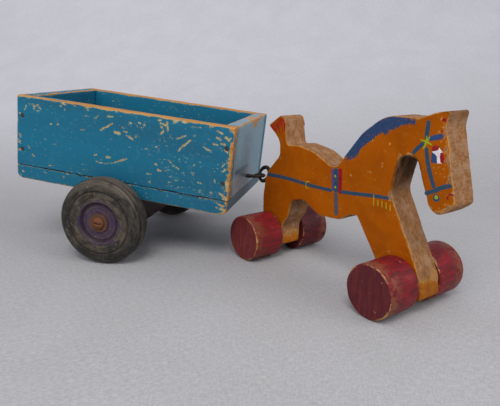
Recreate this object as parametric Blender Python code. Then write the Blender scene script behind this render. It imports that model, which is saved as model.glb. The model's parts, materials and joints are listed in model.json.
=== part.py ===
"""Wooden pull toy: a horse sawn from one board, rolling on four short rollers and hooked to a
nailed box cart with two turned wheels.

Lengths are in metres, +Z is up and the floor is z = 0. The cart's long way runs along X, tail at
-X and nose at +X, where the horse is hooked on. The horse stands turned towards -Y, as it was
left. "Near" is the -Y side of a piece and "far" the +Y side.

The cart's pieces are laid out from the middle of its wheel axis, and the horse's from the point
on the floor under the hook's centre, about which it swings.
"""

import math

import bmesh
import bpy
from mathutils import Matrix, Vector

# Fits
JOINT_GAP = 0.0003  # glue line or driven fastener, between two pieces that stay together
RUNNING_GAP = 0.0004  # between a turning piece and what it turns on

# Cart box, of boards nailed together
BOX_LENGTH = 0.169
BOX_WIDTH = 0.110
BOX_HEIGHT = 0.0635
BED_THICKNESS = 0.0105
WALL_THICKNESS = 0.0095
BOARD_EDGE = 0.0009  # worn round of every board's edge

# Cart wheels, each on its own screw in the end of a cross beam
WHEEL_RADIUS = 0.03175
WHEEL_THICKNESS = 0.0185
WHEEL_SIDE_GAP = 0.0025  # box side to the wheel's inner face
WHEEL_SHOULDER = 0.0055  # round between the wheel's face and its tread
WHEEL_RIM_INNER = 0.0158  # where the raised rim starts
HUB_RADIUS = 0.0142  # the sunk round in the middle of the wheel
HUB_DEPTH = 0.0022
AXLE_FROM_TAIL = 0.081
AXLE_DROP = 0.0161  # bed's underside to the wheel screws' axis
BEAM_WIDTH = 0.025
BEAM_DEPTH = 0.028
SCREW_RADIUS = 0.0021
SCREW_HEAD_RADIUS = 0.0046
SCREW_HEAD_HEIGHT = 0.0028
SCREW_SEAT = 0.024  # length of the screw inside the beam
SCREW_SLOT_WIDTH = 0.0011
SCREW_SLOT_DEPTH = 0.0012
WASHER_RADIUS = 0.0068
WASHER_THICKNESS = 0.0012

# Nails
NAIL_RADIUS = 0.0008
NAIL_HEAD_RADIUS = 0.0013
NAIL_HEAD_THICKNESS = 0.0008
NAIL_SINK = 0.0003  # the head's face below the board's face
NAIL_LENGTH = 0.022
BEAM_NAIL_LENGTH = 0.028
WALL_NAIL_ABOVE_BED = 0.0125
WALL_NAIL_BELOW_RIM = 0.0153
BED_NAIL_INSET = 0.026  # from the box's end to the nails that hold a side board
END_NAIL_SPREAD = 0.022  # from the middle of an end board to each nail in its lower edge
BEAM_NAIL_SPREAD = 0.018

# Hook in the cart's nose and screw eye in the horse's rump, both of bent wire
WIRE_RADIUS = 0.0012
HOOK_RADIUS = 0.0036
HOOK_END_ANGLE = math.radians(185)  # where the curl stops, counted from straight ahead
HOOK_REACH = 0.0097  # nose board's face to the curl's centre
HOOK_BEND_OUT = 0.0015  # where the shank starts to rise
HOOK_RISE = math.radians(7.5)
HOOK_HEIGHT = 0.0187  # bed's underside to the hook's hole
HOOK_SEAT = 0.008
EYE_RADIUS = 0.0056
EYE_TILT = math.radians(21)  # the eye's top leans to the far side
EYE_START_ANGLE = math.radians(22)
EYE_END_ANGLE = math.radians(335)
EYE_NECK = 0.0024  # from the ring to where the shank runs straight
EYE_BEHIND_AXLE = 0.0198
EYE_ABOVE_AXLE = 0.0416
EYE_SEAT_PAST_AXLE = 0.006
LINK_DROP = 0.002  # the hook's wire lies this far below the eye's centre

# Horse, on rollers glued to dowels
HORSE_SWING = math.radians(-39.2)
HORSE_THICKNESS = 0.019
HORSE_EDGE = 0.0008
HORSE_CORNER_STEP = 0.001  # one step of the numbers in the side view's list of corners
WHEELBASE = 0.120
ROLLER_RADIUS = 0.017
ROLLER_LENGTH = 0.0254
ROLLER_SIDE_GAP = 0.001
ROLLER_EDGE = 0.0011
ROLLER_BORE_DEPTH = 0.018
DOWEL_RADIUS = 0.0032

# Facets
WHEEL_FACETS = 44
ROLLER_FACETS = 32
SMALL_FACETS = 16
NAIL_FACETS = 10
ARC_STEP = math.radians(12)
WIRE_ARC_STEP = math.radians(11)

# The horse's side view, as corners to be rounded: x, height above the axle line, radius of the
# round, each as a number of corner steps. The hind corners are counted from the rear axle and the
# fore corners from the front axle, so the body stretches between them.
HIND_CORNERS_UP = (
    (-9.0, -7.5, 2.5),  # heel of the hind leg
    (-9.7, 27.3, 40.0),
    (-6.5, 46.0, 22.0),  # rump
    (8.8, 61.7, 8.0),  # under the tail
    (8.7, 72.3, 9.0),
    (-4.4, 82.6, 1.0),  # tip of the tail
    (8.7, 91.2, 5.0),
    (13.3, 89.6, 1.5),
    (16.9, 70.2, 3.0),  # root of the tail
    (27.6, 71.7, 24.0),
    (45.7, 69.1, 40.0),
)
FORE_CORNERS = (
    (-56.0, 59.7, 9.0),  # dip of the back
    (-33.8, 86.8, 28.0),  # mane
    (-17.2, 98.9, 24.0),
    (5.2, 98.9, 6.0),  # poll
    (15.8, 103.0, 8.0),
    (24.3, 104.4, 1.5),  # ear
    (22.6, 96.0, 12.0),
    (32.9, 53.4, 4.0),  # nose
    (23.0, 46.4, 6.0),
    (16.6, 49.6, 5.0),  # chin
    (5.8, 76.8, 4.4),  # throat
    (-4.7, 75.8, 5.0),
    (-9.8, 54.0, 10.0),  # chest
    (16.0, 5.3, 16.0),
    (17.5, -7.5, 2.5),  # toe of the fore leg
    (-6.1, -7.5, 2.5),
    (-34.7, 33.6, 1.6),  # elbow
    (-40.7, 32.3, 4.0),
    (-49.7, 26.9, 8.0),
)
HIND_CORNERS_DOWN = (
    (52.2, 25.5, 14.0),  # belly
    (35.5, 32.9, 7.0),  # flank
    (23.5, 29.5, 6.0),
    (19.5, 17.3, 9.0),
    (13.4, 8.7, 8.0),
    (12.9, -7.5, 2.5),  # toe of the hind leg
)


def clear_scene():
    """Remove whatever the open scene holds."""
    for thing in list(bpy.data.objects):
        bpy.data.objects.remove(thing, do_unlink=True)


def finish(name, colour, roughness, metallic=0.0):
    """Principled material with one colour."""
    material = bpy.data.materials.new(name)
    material.use_nodes = True
    shader = material.node_tree.nodes["Principled BSDF"]
    shader.inputs["Base Color"].default_value = (*colour, 1.0)
    shader.inputs["Roughness"].default_value = roughness
    shader.inputs["Metallic"].default_value = metallic
    material.diffuse_color = (*colour, 1.0)
    return material


def add_object(name, data, parent, material, location=(0, 0, 0), turn=None):
    """Object under a parent empty, placed by its location and an optional rotation matrix."""
    thing = bpy.data.objects.new(name, data)
    bpy.context.scene.collection.objects.link(thing)
    thing.parent = parent
    thing.location = location
    if turn is not None:
        thing.rotation_euler = turn.to_euler()
    if material is not None:
        data.materials.append(material)
    return thing


def add_empty(name, parent, location, turn=(0.0, 0.0, 0.0)):
    """Empty that carries the pieces of one assembly."""
    empty = bpy.data.objects.new(name, None)
    bpy.context.scene.collection.objects.link(empty)
    empty.parent = parent
    empty.location = location
    empty.rotation_euler = turn
    return empty


def mesh_from(name, bm, smooth_angle=None):
    """Mesh of a bmesh with its faces turned outwards, shaded smooth if an angle is given."""
    bmesh.ops.recalc_face_normals(bm, faces=bm.faces)
    mesh = bpy.data.meshes.new(name)
    bm.to_mesh(mesh)
    bm.free()
    if smooth_angle is not None:
        mesh.shade_smooth()
        mesh.set_sharp_from_angle(angle=smooth_angle)
    return mesh


def box_mesh(name, size):
    """Rectangular block centred on its origin."""
    bm = bmesh.new()
    bmesh.ops.create_cube(bm, size=1.0)
    bmesh.ops.scale(bm, vec=size, verts=bm.verts)
    return mesh_from(name, bm)


def turn_body(bm, profile, facets, closed, place):
    """Add a body of revolution about Y, from a profile of (radius, y) points, to a bmesh.

    A closed profile is a ring's section. An open one starts and ends on the axis. One facet lies
    flat at the bottom, at the profile's own radius, so that a wheel stands on its facet.
    """
    outward = 1.0 / math.cos(math.pi / facets)
    rings = []
    for radius, y in profile:
        if radius == 0.0:
            rings.append([bm.verts.new(place @ Vector((0.0, y, 0.0)))])
            continue
        ring = []
        for k in range(facets):
            angle = 2.0 * math.pi * (k + 0.5) / facets - math.pi / 2.0
            reach = radius * outward
            corner = Vector((reach * math.cos(angle), y, reach * math.sin(angle)))
            ring.append(bm.verts.new(place @ corner))
        rings.append(ring)
    pairs = list(zip(rings, rings[1:]))
    if closed:
        pairs.append((rings[-1], rings[0]))
    for first, second in pairs:
        for k in range(facets):
            after = (k + 1) % facets
            corners = [first[k % len(first)], first[after % len(first)]]
            corners += [second[after % len(second)], second[k % len(second)]]
            bm.faces.new(list(dict.fromkeys(corners)))


def turned_mesh(name, profile, facets, closed):
    """Mesh of one body of revolution about Y."""
    bm = bmesh.new()
    turn_body(bm, profile, facets, closed, Matrix.Identity(4))
    return mesh_from(name, bm, math.radians(35))


def round_bevel(thing, width, segments=2):
    """Rounded edges all over a board, left as a live modifier."""
    bevel = thing.modifiers.new("worn_edge", "BEVEL")
    bevel.width = width
    bevel.segments = segments
    bevel.limit_method = "ANGLE"
    bevel.angle_limit = math.radians(60)
    bevel.harden_normals = False


def hole(start, end, radius):
    """Plain round hole between two points, as a profile and its place."""
    start = Vector(start)
    run = Vector(end) - start
    place = Matrix.Translation(start) @ run.to_track_quat("Y", "Z").to_matrix().to_4x4()
    return [(0.0, 0.0), (radius, 0.0), (radius, run.length), (0.0, run.length)], place


def drill(thing, holes):
    """Cut round holes into a piece. Each hole is a profile and its place in the parent's frame."""
    bm = bmesh.new()
    for profile, place in holes:
        turn_body(bm, profile, SMALL_FACETS, False, place)
    name = thing.name + "_holes"
    cutter = add_object(name, mesh_from(name, bm), thing.parent, None)
    hide_cutter(cutter)
    cut_away(thing, cutter)


def hide_cutter(cutter):
    """Keep a cutting body out of the finished toy."""
    cutter.hide_render = True
    cutter.display_type = "WIRE"


def cut_away(thing, cutter):
    """Live boolean cut of one piece."""
    cut = thing.modifiers.new(cutter.name, "BOOLEAN")
    cut.operation = "DIFFERENCE"
    cut.solver = "EXACT"
    cut.object = cutter


def wire(name, points, parent, material, location, turn=None):
    """Round wire along a list of points, with closed ends."""
    curve = bpy.data.curves.new(name, "CURVE")
    curve.dimensions = "3D"
    curve.bevel_depth = WIRE_RADIUS
    curve.bevel_resolution = 3
    curve.use_fill_caps = True
    spline = curve.splines.new("POLY")
    spline.points.add(len(points) - 1)
    for slot, point in zip(spline.points, points):
        slot.co = (*point, 1.0)
    return add_object(name, curve, parent, material, location, turn)


def arc_angles(start, end, step):
    """Angles from start to end, both included, no more than a step apart."""
    count = max(1, math.ceil(abs(end - start) / step))
    return [start + (end - start) * k / count for k in range(count + 1)]


def round_corners(corners):
    """Outline points of a polygon whose corners are replaced by tangent arcs."""
    points = []
    count = len(corners)
    for k, (corner, radius) in enumerate(corners):
        before = (corners[k - 1][0] - corner).normalized()
        after = (corners[(k + 1) % count][0] - corner).normalized()
        half = before.angle(after) / 2.0
        cut = radius / math.tan(half)
        centre = corner + (before + after).normalized() * radius / math.sin(half)
        first = corner + before * cut - centre
        turn = (corner + after * cut - centre).angle_signed(first)
        for angle in arc_angles(0.0, turn, ARC_STEP):
            points.append(centre + Matrix.Rotation(angle, 2) @ first)
    return points


class Nail:
    """One kind of nail, with the hole that it needs."""

    def __init__(self, length):
        self.length = length
        profile = [(0.0, 0.0), (NAIL_HEAD_RADIUS, 0.0), (NAIL_HEAD_RADIUS, -NAIL_HEAD_THICKNESS)]
        profile += [(NAIL_RADIUS, -NAIL_HEAD_THICKNESS), (NAIL_RADIUS, 3.0 * NAIL_RADIUS - length)]
        profile += [(0.0, -length)]
        self.mesh = turned_mesh("nail", profile, NAIL_FACETS, closed=False)

    def drive(self, name, parent, material, entry, inward):
        """Nail driven at a point of a board's face, along the inward direction."""
        inward = Vector(inward)
        turn = (-inward).to_track_quat("Y", "Z").to_matrix()
        place = Vector(entry) + inward * NAIL_SINK
        mesh = self.mesh.copy()
        return add_object(name, mesh, parent, material, place, turn)

    def hole(self, entry, inward):
        """Stepped hole for the head and the shank, reaching just past the tip."""
        outside = WALL_THICKNESS / 2.0
        under_head = -(NAIL_SINK + NAIL_HEAD_THICKNESS + JOINT_GAP)
        past_tip = -(NAIL_SINK + self.length + JOINT_GAP)
        head = NAIL_HEAD_RADIUS + JOINT_GAP
        shank = NAIL_RADIUS + JOINT_GAP
        profile = [(0.0, outside), (head, outside), (head, under_head)]
        profile += [(shank, under_head), (shank, past_tip), (0.0, past_tip)]
        turn = (-Vector(inward)).to_track_quat("Y", "Z").to_matrix().to_4x4()
        return profile, Matrix.Translation(entry) @ turn


def nail_plan(box):
    """Name, entry point, inward direction and length of every nail, and the boards that it joins."""
    plan = []
    heights = {"low": box.bed_top + WALL_NAIL_ABOVE_BED, "high": box.rim - WALL_NAIL_BELOW_RIM}
    for side, sign in (("near", -1.0), ("far", 1.0)):
        for end, x in (("tail", box.tail + WALL_THICKNESS / 2.0), ("nose", box.nose - WALL_THICKNESS / 2.0)):
            for level, z in heights.items():
                boards = (side + "_side_board", end + "_board")
                entry = (x, sign * BOX_WIDTH / 2.0, z)
                plan.append((f"{side}_{end}_nail_{level}", entry, (0.0, -sign, 0.0), NAIL_LENGTH, boards))
    side_y = (BOX_WIDTH - WALL_THICKNESS) / 2.0
    for side, sign in (("near", -1.0), ("far", 1.0)):
        for end, x in (("tail", box.tail + BED_NAIL_INSET), ("nose", box.nose - BED_NAIL_INSET)):
            boards = ("bed_board", side + "_side_board")
            entry = (x, sign * side_y, box.bed_bottom)
            plan.append((f"bed_nail_{side}_{end}", entry, (0.0, 0.0, 1.0), NAIL_LENGTH, boards))
    for end, x in (("tail", box.tail + WALL_THICKNESS / 2.0), ("nose", box.nose - WALL_THICKNESS / 2.0)):
        for side, sign in (("near", -1.0), ("far", 1.0)):
            boards = ("bed_board", end + "_board")
            entry = (x, sign * END_NAIL_SPREAD, box.bed_bottom)
            plan.append((f"{end}_bed_nail_{side}", entry, (0.0, 0.0, 1.0), NAIL_LENGTH, boards))
    for side, sign in (("near", -1.0), ("far", 1.0)):
        entry = (0.0, sign * BEAM_NAIL_SPREAD, box.bed_top)
        boards = ("bed_board", "axle_beam")
        plan.append((f"beam_nail_{side}", entry, (0.0, 0.0, -1.0), BEAM_NAIL_LENGTH, boards))
    return plan


class BoxPlaces:
    """Heights and ends of the cart's box, counted from the middle of the wheel axis."""

    def __init__(self):
        self.tail = -AXLE_FROM_TAIL
        self.nose = BOX_LENGTH - AXLE_FROM_TAIL
        self.bed_bottom = AXLE_DROP
        self.bed_top = AXLE_DROP + BED_THICKNESS
        self.rim = AXLE_DROP + BOX_HEIGHT
        self.hook_height = AXLE_DROP + HOOK_HEIGHT


def build_cart_box(cart, box, looks):
    """Bed, four walls and cross beam, drilled for every nail, screw and hook, and the nails."""
    wall_height = box.rim - box.bed_top - JOINT_GAP
    wall_z = box.rim - wall_height / 2.0
    mid_x = (box.tail + box.nose) / 2.0
    side_y = (BOX_WIDTH - WALL_THICKNESS) / 2.0
    end_width = BOX_WIDTH - 2.0 * (WALL_THICKNESS + JOINT_GAP)
    beam_length = beam_reach() * 2.0
    boards = {
        "bed_board": (
            (BOX_LENGTH, BOX_WIDTH, BED_THICKNESS),
            (mid_x, 0, (box.bed_bottom + box.bed_top) / 2),
        ),
        "near_side_board": ((BOX_LENGTH, WALL_THICKNESS, wall_height), (mid_x, -side_y, wall_z)),
        "far_side_board": ((BOX_LENGTH, WALL_THICKNESS, wall_height), (mid_x, side_y, wall_z)),
        "tail_board": ((WALL_THICKNESS, end_width, wall_height), (box.tail + WALL_THICKNESS / 2, 0, wall_z)),
        "nose_board": ((WALL_THICKNESS, end_width, wall_height), (box.nose - WALL_THICKNESS / 2, 0, wall_z)),
        "axle_beam": (
            (BEAM_WIDTH, beam_length, BEAM_DEPTH),
            (0, 0, box.bed_bottom - JOINT_GAP - BEAM_DEPTH / 2),
        ),
    }
    pieces = {}
    for name, (size, centre) in boards.items():
        look = looks["beam_paint"] if name == "axle_beam" else looks["blue_paint"]
        pieces[name] = add_object(name, box_mesh(name, size), cart, look, centre)
        round_bevel(pieces[name], BOARD_EDGE)

    holes = {name: [] for name in boards}
    kinds = {length: Nail(length) for length in (NAIL_LENGTH, BEAM_NAIL_LENGTH)}
    for name, entry, inward, length, joined in nail_plan(box):
        kinds[length].drive(name, cart, looks["nail_steel"], entry, inward)
        for board in joined:
            holes[board].append(kinds[length].hole(entry, inward))
    for sign in (-1.0, 1.0):
        outside = (0.0, sign * (beam_reach() + WALL_THICKNESS), 0.0)
        inside = (0.0, sign * (beam_reach() - SCREW_SEAT - JOINT_GAP), 0.0)
        holes["axle_beam"].append(hole(outside, inside, SCREW_RADIUS + JOINT_GAP))
    hook_out = (box.nose + WALL_THICKNESS, 0.0, box.hook_height)
    hook_in = (box.nose - HOOK_SEAT - JOINT_GAP, 0.0, box.hook_height)
    holes["nose_board"].append(hole(hook_out, hook_in, WIRE_RADIUS + JOINT_GAP))
    for name, wanted in holes.items():
        drill(pieces[name], wanted)


def beam_reach():
    """Half the cross beam's length: its ends bear on the wheels' inner faces."""
    return BOX_WIDTH / 2.0 + WHEEL_SIDE_GAP - RUNNING_GAP


def wheel_profile():
    """Section of a cart wheel, as (radius, distance outwards from the wheel's inner face)."""
    bore = SCREW_RADIUS + RUNNING_GAP
    hub_face = WHEEL_THICKNESS - HUB_DEPTH
    centre = WHEEL_RADIUS - WHEEL_SHOULDER
    points = [(bore, 0.0)]
    for angle in arc_angles(-math.pi / 2.0, 0.0, math.radians(23)):
        points.append((centre + WHEEL_SHOULDER * math.cos(angle), WHEEL_SHOULDER * (1.0 + math.sin(angle))))
    for angle in arc_angles(0.0, math.pi / 2.0, math.radians(23)):
        y = WHEEL_THICKNESS - WHEEL_SHOULDER * (1.0 - math.sin(angle))
        points.append((centre + WHEEL_SHOULDER * math.cos(angle), y))
    points += [(WHEEL_RIM_INNER, WHEEL_THICKNESS), (HUB_RADIUS, hub_face), (bore, hub_face)]
    return points


def screw_mesh(under_head, tip):
    """Round-headed slotted screw along Y, from the underside of its head to its tip."""
    profile = [(0.0, under_head + SCREW_HEAD_HEIGHT)]
    for angle in arc_angles(math.pi / 2.0, 0.0, math.radians(18))[1:]:
        reach = SCREW_HEAD_RADIUS * math.cos(angle)
        profile.append((max(reach, SCREW_RADIUS), under_head + SCREW_HEAD_HEIGHT * math.sin(angle)))
    profile += [(SCREW_RADIUS, under_head), (SCREW_RADIUS, tip + 2.0 * SCREW_RADIUS), (0.0, tip)]
    return turned_mesh("wheel_screw", profile, SMALL_FACETS, closed=False)


def build_cart_wheels(cart, looks):
    """Two turned wheels, each with the washer and the screw that it turns on."""
    inner_face = BOX_WIDTH / 2.0 + WHEEL_SIDE_GAP
    hub_face = inner_face + WHEEL_THICKNESS - HUB_DEPTH
    washer_face = hub_face + RUNNING_GAP
    under_head = washer_face + WASHER_THICKNESS + JOINT_GAP
    tip = beam_reach() - SCREW_SEAT
    ring = [(SCREW_RADIUS + JOINT_GAP, 0.0), (WASHER_RADIUS, 0.0)]
    ring += [(radius, WASHER_THICKNESS) for radius, _ in reversed(ring)]
    wheel_mesh = turned_mesh("cart_wheel", wheel_profile(), WHEEL_FACETS, closed=True)
    washer_mesh = turned_mesh("washer", ring, SMALL_FACETS, closed=True)
    for side, turn in (("near", math.pi), ("far", 0.0)):
        spin = Matrix.Rotation(turn, 3, "Z")
        wheel_place = spin @ Vector((0, inner_face, 0))
        washer_place = spin @ Vector((0, washer_face, 0))
        add_object(side + "_wheel", wheel_mesh.copy(), cart, looks["wheel_paint"], wheel_place, spin)
        add_object(side + "_washer", washer_mesh.copy(), cart, looks["rusty_steel"], washer_place, spin)
        screw = add_object(
            side + "_wheel_screw", screw_mesh(under_head, tip), cart, looks["rusty_steel"], (0, 0, 0), spin
        )
        slot_size = (4.0 * SCREW_HEAD_RADIUS, 2.0 * SCREW_SLOT_DEPTH, SCREW_SLOT_WIDTH)
        slot_place = spin @ Vector((0, under_head + SCREW_HEAD_HEIGHT, 0))
        slot = add_object(
            side + "_screw_slot", box_mesh("screw_slot", slot_size), cart, None, slot_place, spin
        )
        hide_cutter(slot)
        cut_away(screw, slot)


def hook_direction():
    """Unit vector of the hook's rising shank, in the cart's frame."""
    return Vector((math.cos(HOOK_RISE), 0.0, math.sin(HOOK_RISE)))


def hook_centre(box):
    """Centre of the hook's curl, in the cart's frame. The curl lies on the far side of its shank."""
    run = (HOOK_REACH - HOOK_BEND_OUT) / math.cos(HOOK_RISE)
    root = Vector((box.nose + HOOK_BEND_OUT, 0.0, box.hook_height))
    return root + hook_direction() * run + Vector((0.0, HOOK_RADIUS, 0.0))


def build_hook(cart, box, looks):
    """Wire hook: a shank in the nose board that rises a little and curls round to the far side."""
    root = Vector((box.nose, 0.0, box.hook_height))
    centre = hook_centre(box)
    ahead = hook_direction()
    side = Vector((0.0, 1.0, 0.0))
    points = [root - Vector((HOOK_SEAT, 0.0, 0.0)), root + Vector((HOOK_BEND_OUT / 3.0, 0.0, 0.0))]
    points.append(root + Vector((HOOK_BEND_OUT, 0.0, 0.0)) + ahead * HOOK_BEND_OUT / 3.0)
    for angle in arc_angles(-math.pi / 2.0, HOOK_END_ANGLE, WIRE_ARC_STEP):
        points.append(centre + HOOK_RADIUS * (ahead * math.cos(angle) + side * math.sin(angle)))
    wire("cart_hook", [point - root for point in points], cart, looks["dark_wire"], root)


def eye_drop_along_ring():
    """Where the ring crosses the hook's height: how far ahead of and below the ring's centre."""
    below = LINK_DROP / math.cos(EYE_TILT)
    return math.sqrt(EYE_RADIUS**2 - below**2), below


def horse_places():
    """Rear axle's x and the board's middle y, counted from the swing axis through the hook."""
    ahead, below = eye_drop_along_ring()
    return ahead + EYE_BEHIND_AXLE, below * math.sin(EYE_TILT)


def build_horse_body(horse, looks):
    """The sawn board, drilled for both dowels and for the screw eye."""
    rear_x, middle_y = horse_places()
    corners = []
    for group, axle_x in (
        (HIND_CORNERS_UP, rear_x),
        (FORE_CORNERS, rear_x + WHEELBASE),
        (HIND_CORNERS_DOWN, rear_x),
    ):
        for x, height, radius in group:
            offset = Vector((x, height)) * HORSE_CORNER_STEP
            corners.append((Vector((axle_x, ROLLER_RADIUS)) + offset, radius * HORSE_CORNER_STEP))
    bm = bmesh.new()
    outline = [bm.verts.new((point.x, -HORSE_THICKNESS / 2.0, point.y)) for point in round_corners(corners)]
    side = bm.faces.new(outline)
    swept = bmesh.ops.extrude_face_region(bm, geom=[side])
    moved = [part for part in swept["geom"] if isinstance(part, bmesh.types.BMVert)]
    bmesh.ops.translate(bm, verts=moved, vec=(0.0, HORSE_THICKNESS, 0.0))
    body = add_object(
        "horse_body", mesh_from("horse_body", bm), horse, looks["orange_paint"], (0.0, middle_y, 0.0)
    )
    round_bevel(body, HORSE_EDGE)
    holes = []
    for axle_x in (rear_x, rear_x + WHEELBASE):
        start = (axle_x, middle_y - HORSE_THICKNESS, ROLLER_RADIUS)
        end = (axle_x, middle_y + HORSE_THICKNESS, ROLLER_RADIUS)
        holes.append(hole(start, end, DOWEL_RADIUS + RUNNING_GAP))
    eye_z = ROLLER_RADIUS + EYE_ABOVE_AXLE
    start = (rear_x - EYE_BEHIND_AXLE, middle_y, eye_z)
    end = (rear_x + EYE_SEAT_PAST_AXLE + JOINT_GAP, middle_y, eye_z)
    holes.append(hole(start, end, WIRE_RADIUS + JOINT_GAP))
    drill(body, holes)


def build_eye(horse, looks):
    """Screw eye in the rump: a ring leaning to the far side on a straight shank."""
    rear_x, middle_y = horse_places()
    centre = Vector((rear_x - EYE_BEHIND_AXLE, middle_y, ROLLER_RADIUS + EYE_ABOVE_AXLE))
    ahead = Vector((1.0, 0.0, 0.0))
    up = Vector((0.0, math.sin(EYE_TILT), math.cos(EYE_TILT)))
    points = [ahead * (EYE_BEHIND_AXLE + EYE_SEAT_PAST_AXLE), ahead * (EYE_RADIUS + EYE_NECK)]
    for angle in arc_angles(EYE_START_ANGLE, EYE_END_ANGLE, WIRE_ARC_STEP):
        points.append(EYE_RADIUS * (ahead * math.cos(angle) + up * math.sin(angle)))
    wire("rump_eye", points, horse, looks["dark_wire"], centre)


def build_rollers(horse, looks):
    """Two dowels that turn in the legs, each with a roller glued on both ends."""
    rear_x, middle_y = horse_places()
    inner = HORSE_THICKNESS / 2.0 + ROLLER_SIDE_GAP
    bore = DOWEL_RADIUS + JOINT_GAP
    edge = ROLLER_EDGE
    profile = [(0.0, ROLLER_BORE_DEPTH), (bore, ROLLER_BORE_DEPTH), (bore, 0.0)]
    for middle, start in ((edge, -math.pi / 2.0), (ROLLER_LENGTH - edge, 0.0)):
        for angle in arc_angles(start, start + math.pi / 2.0, math.radians(45)):
            radius = ROLLER_RADIUS - edge + edge * math.cos(angle)
            profile.append((radius, middle + edge * math.sin(angle)))
    profile.append((0.0, ROLLER_LENGTH))
    half = inner + ROLLER_BORE_DEPTH - JOINT_GAP
    rod = [(0.0, -half), (DOWEL_RADIUS, -half), (DOWEL_RADIUS, half), (0.0, half)]
    dowel_mesh = turned_mesh("dowel", rod, SMALL_FACETS, closed=False)
    roller_mesh = turned_mesh("roller", profile, ROLLER_FACETS, closed=False)
    for end, axle_x in (("rear", rear_x), ("front", rear_x + WHEELBASE)):
        axle = add_empty(end + "_axle", horse, (axle_x, middle_y, ROLLER_RADIUS))
        add_object(end + "_dowel", dowel_mesh.copy(), axle, looks["bare_wood"])
        for side, turn in (("near", math.pi), ("far", 0.0)):
            spin = Matrix.Rotation(turn, 3, "Z")
            place = spin @ Vector((0.0, inner, 0.0))
            add_object(f"{end}_{side}_roller", roller_mesh.copy(), axle, looks["red_paint"], place, spin)


def cart_pitch(box):
    """Angle about Y that lowers the hook from the level cart into the horse's eye."""
    centre = hook_centre(box)
    reach = math.hypot(centre.x, centre.z)
    rise = ROLLER_RADIUS + EYE_ABOVE_AXLE - LINK_DROP - WHEEL_RADIUS
    return math.acos(rise / reach) - math.atan2(centre.x, centre.z)


def centre_on_origin(root):
    """Slide the whole toy so that its box's bottom centre is the origin, with the floor at z = 0."""
    bpy.context.view_layer.update()
    graph = bpy.context.evaluated_depsgraph_get()
    low = Vector((math.inf, math.inf))
    high = Vector((-math.inf, -math.inf))
    for thing in bpy.context.scene.objects:
        if thing.type == "EMPTY" or thing.hide_render:
            continue
        shape = thing.evaluated_get(graph)
        mesh = shape.to_mesh()
        for vertex in mesh.vertices:
            point = shape.matrix_world @ vertex.co
            low = Vector((min(low.x, point.x), min(low.y, point.y)))
            high = Vector((max(high.x, point.x), max(high.y, point.y)))
        shape.to_mesh_clear()
    middle = (low + high) / 2.0
    root.location = (root.location.x - middle.x, root.location.y - middle.y, 0.0)


def main():
    clear_scene()
    looks = {
        "blue_paint": finish("blue_paint", (0.045, 0.16, 0.24), 0.5),
        "beam_paint": finish("beam_paint", (0.10, 0.025, 0.045), 0.6),
        "wheel_paint": finish("wheel_paint", (0.05, 0.048, 0.042), 0.6),
        "orange_paint": finish("orange_paint", (0.42, 0.13, 0.012), 0.5),
        "red_paint": finish("red_paint", (0.25, 0.02, 0.03), 0.5),
        "bare_wood": finish("bare_wood", (0.42, 0.25, 0.12), 0.7),
        "dark_wire": finish("dark_wire", (0.06, 0.05, 0.045), 0.5, 0.9),
        "rusty_steel": finish("rusty_steel", (0.25, 0.10, 0.04), 0.75, 0.6),
        "nail_steel": finish("nail_steel", (0.10, 0.06, 0.045), 0.65, 0.8),
    }
    box = BoxPlaces()
    pitch = cart_pitch(box)
    toy = add_empty("toy", None, (0.0, 0.0, 0.0))
    cart = add_empty("cart", toy, (0.0, 0.0, WHEEL_RADIUS), (0.0, pitch, 0.0))
    build_cart_box(cart, box, looks)
    build_cart_wheels(cart, looks)
    build_hook(cart, box, looks)
    hitch = Matrix.Rotation(pitch, 3, "Y") @ hook_centre(box)
    horse = add_empty("horse", toy, (hitch.x, hitch.y, 0.0), (0.0, 0.0, HORSE_SWING))
    build_horse_body(horse, looks)
    build_eye(horse, looks)
    build_rollers(horse, looks)
    centre_on_origin(toy)


main()
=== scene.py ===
"""Looks for an old wooden pull toy: a painted horse on rollers, hooked to a nailed box cart.

Shapes are surfaces worked out with numpy in each sub-assembly's own axes, in millimetres, and then
put into the row frame in metres. The cart's own axes start in the middle of its wheel axis, and the
horse's on the floor under its rear axle, in the middle of its board.
"""

import json
import logging
import math
from dataclasses import dataclass, field
from enum import Enum
from typing import Callable, Iterable, Sequence

import bmesh
import bpy
import numpy as np
from mathutils import Matrix, Vector
from mathutils.geometry import delaunay_2d_cdt


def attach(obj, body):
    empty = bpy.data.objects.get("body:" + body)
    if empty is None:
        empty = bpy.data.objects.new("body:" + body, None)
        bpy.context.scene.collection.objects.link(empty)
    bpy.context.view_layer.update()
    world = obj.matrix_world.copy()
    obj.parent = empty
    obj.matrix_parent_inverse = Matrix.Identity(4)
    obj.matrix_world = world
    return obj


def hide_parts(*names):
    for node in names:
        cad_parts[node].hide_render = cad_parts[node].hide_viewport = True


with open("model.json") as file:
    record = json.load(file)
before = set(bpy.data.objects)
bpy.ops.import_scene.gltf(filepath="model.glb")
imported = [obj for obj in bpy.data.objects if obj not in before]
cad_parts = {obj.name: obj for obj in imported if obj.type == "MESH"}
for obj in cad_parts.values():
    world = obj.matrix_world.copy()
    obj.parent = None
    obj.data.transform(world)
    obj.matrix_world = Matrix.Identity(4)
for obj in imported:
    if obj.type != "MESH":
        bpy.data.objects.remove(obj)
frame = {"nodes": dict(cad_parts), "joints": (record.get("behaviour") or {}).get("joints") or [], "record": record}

Array = np.ndarray
Pair = tuple[float, float]
Triple = tuple[float, float, float]
Colour = tuple[int, int, int]
Socket = bpy.types.NodeSocket
Material = bpy.types.Material
LOG = logging.getLogger("toy")
MM = 0.001


def linear_light(colour: Colour) -> Triple:
    """Linear light of a screen colour given as 0 to 255."""
    parts = np.array(colour) / 255.0
    linear = np.where(parts <= 0.04045, parts / 12.92, ((parts + 0.055) / 1.055) ** 2.4)
    return tuple(float(v) for v in linear)


# Number fields


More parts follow.
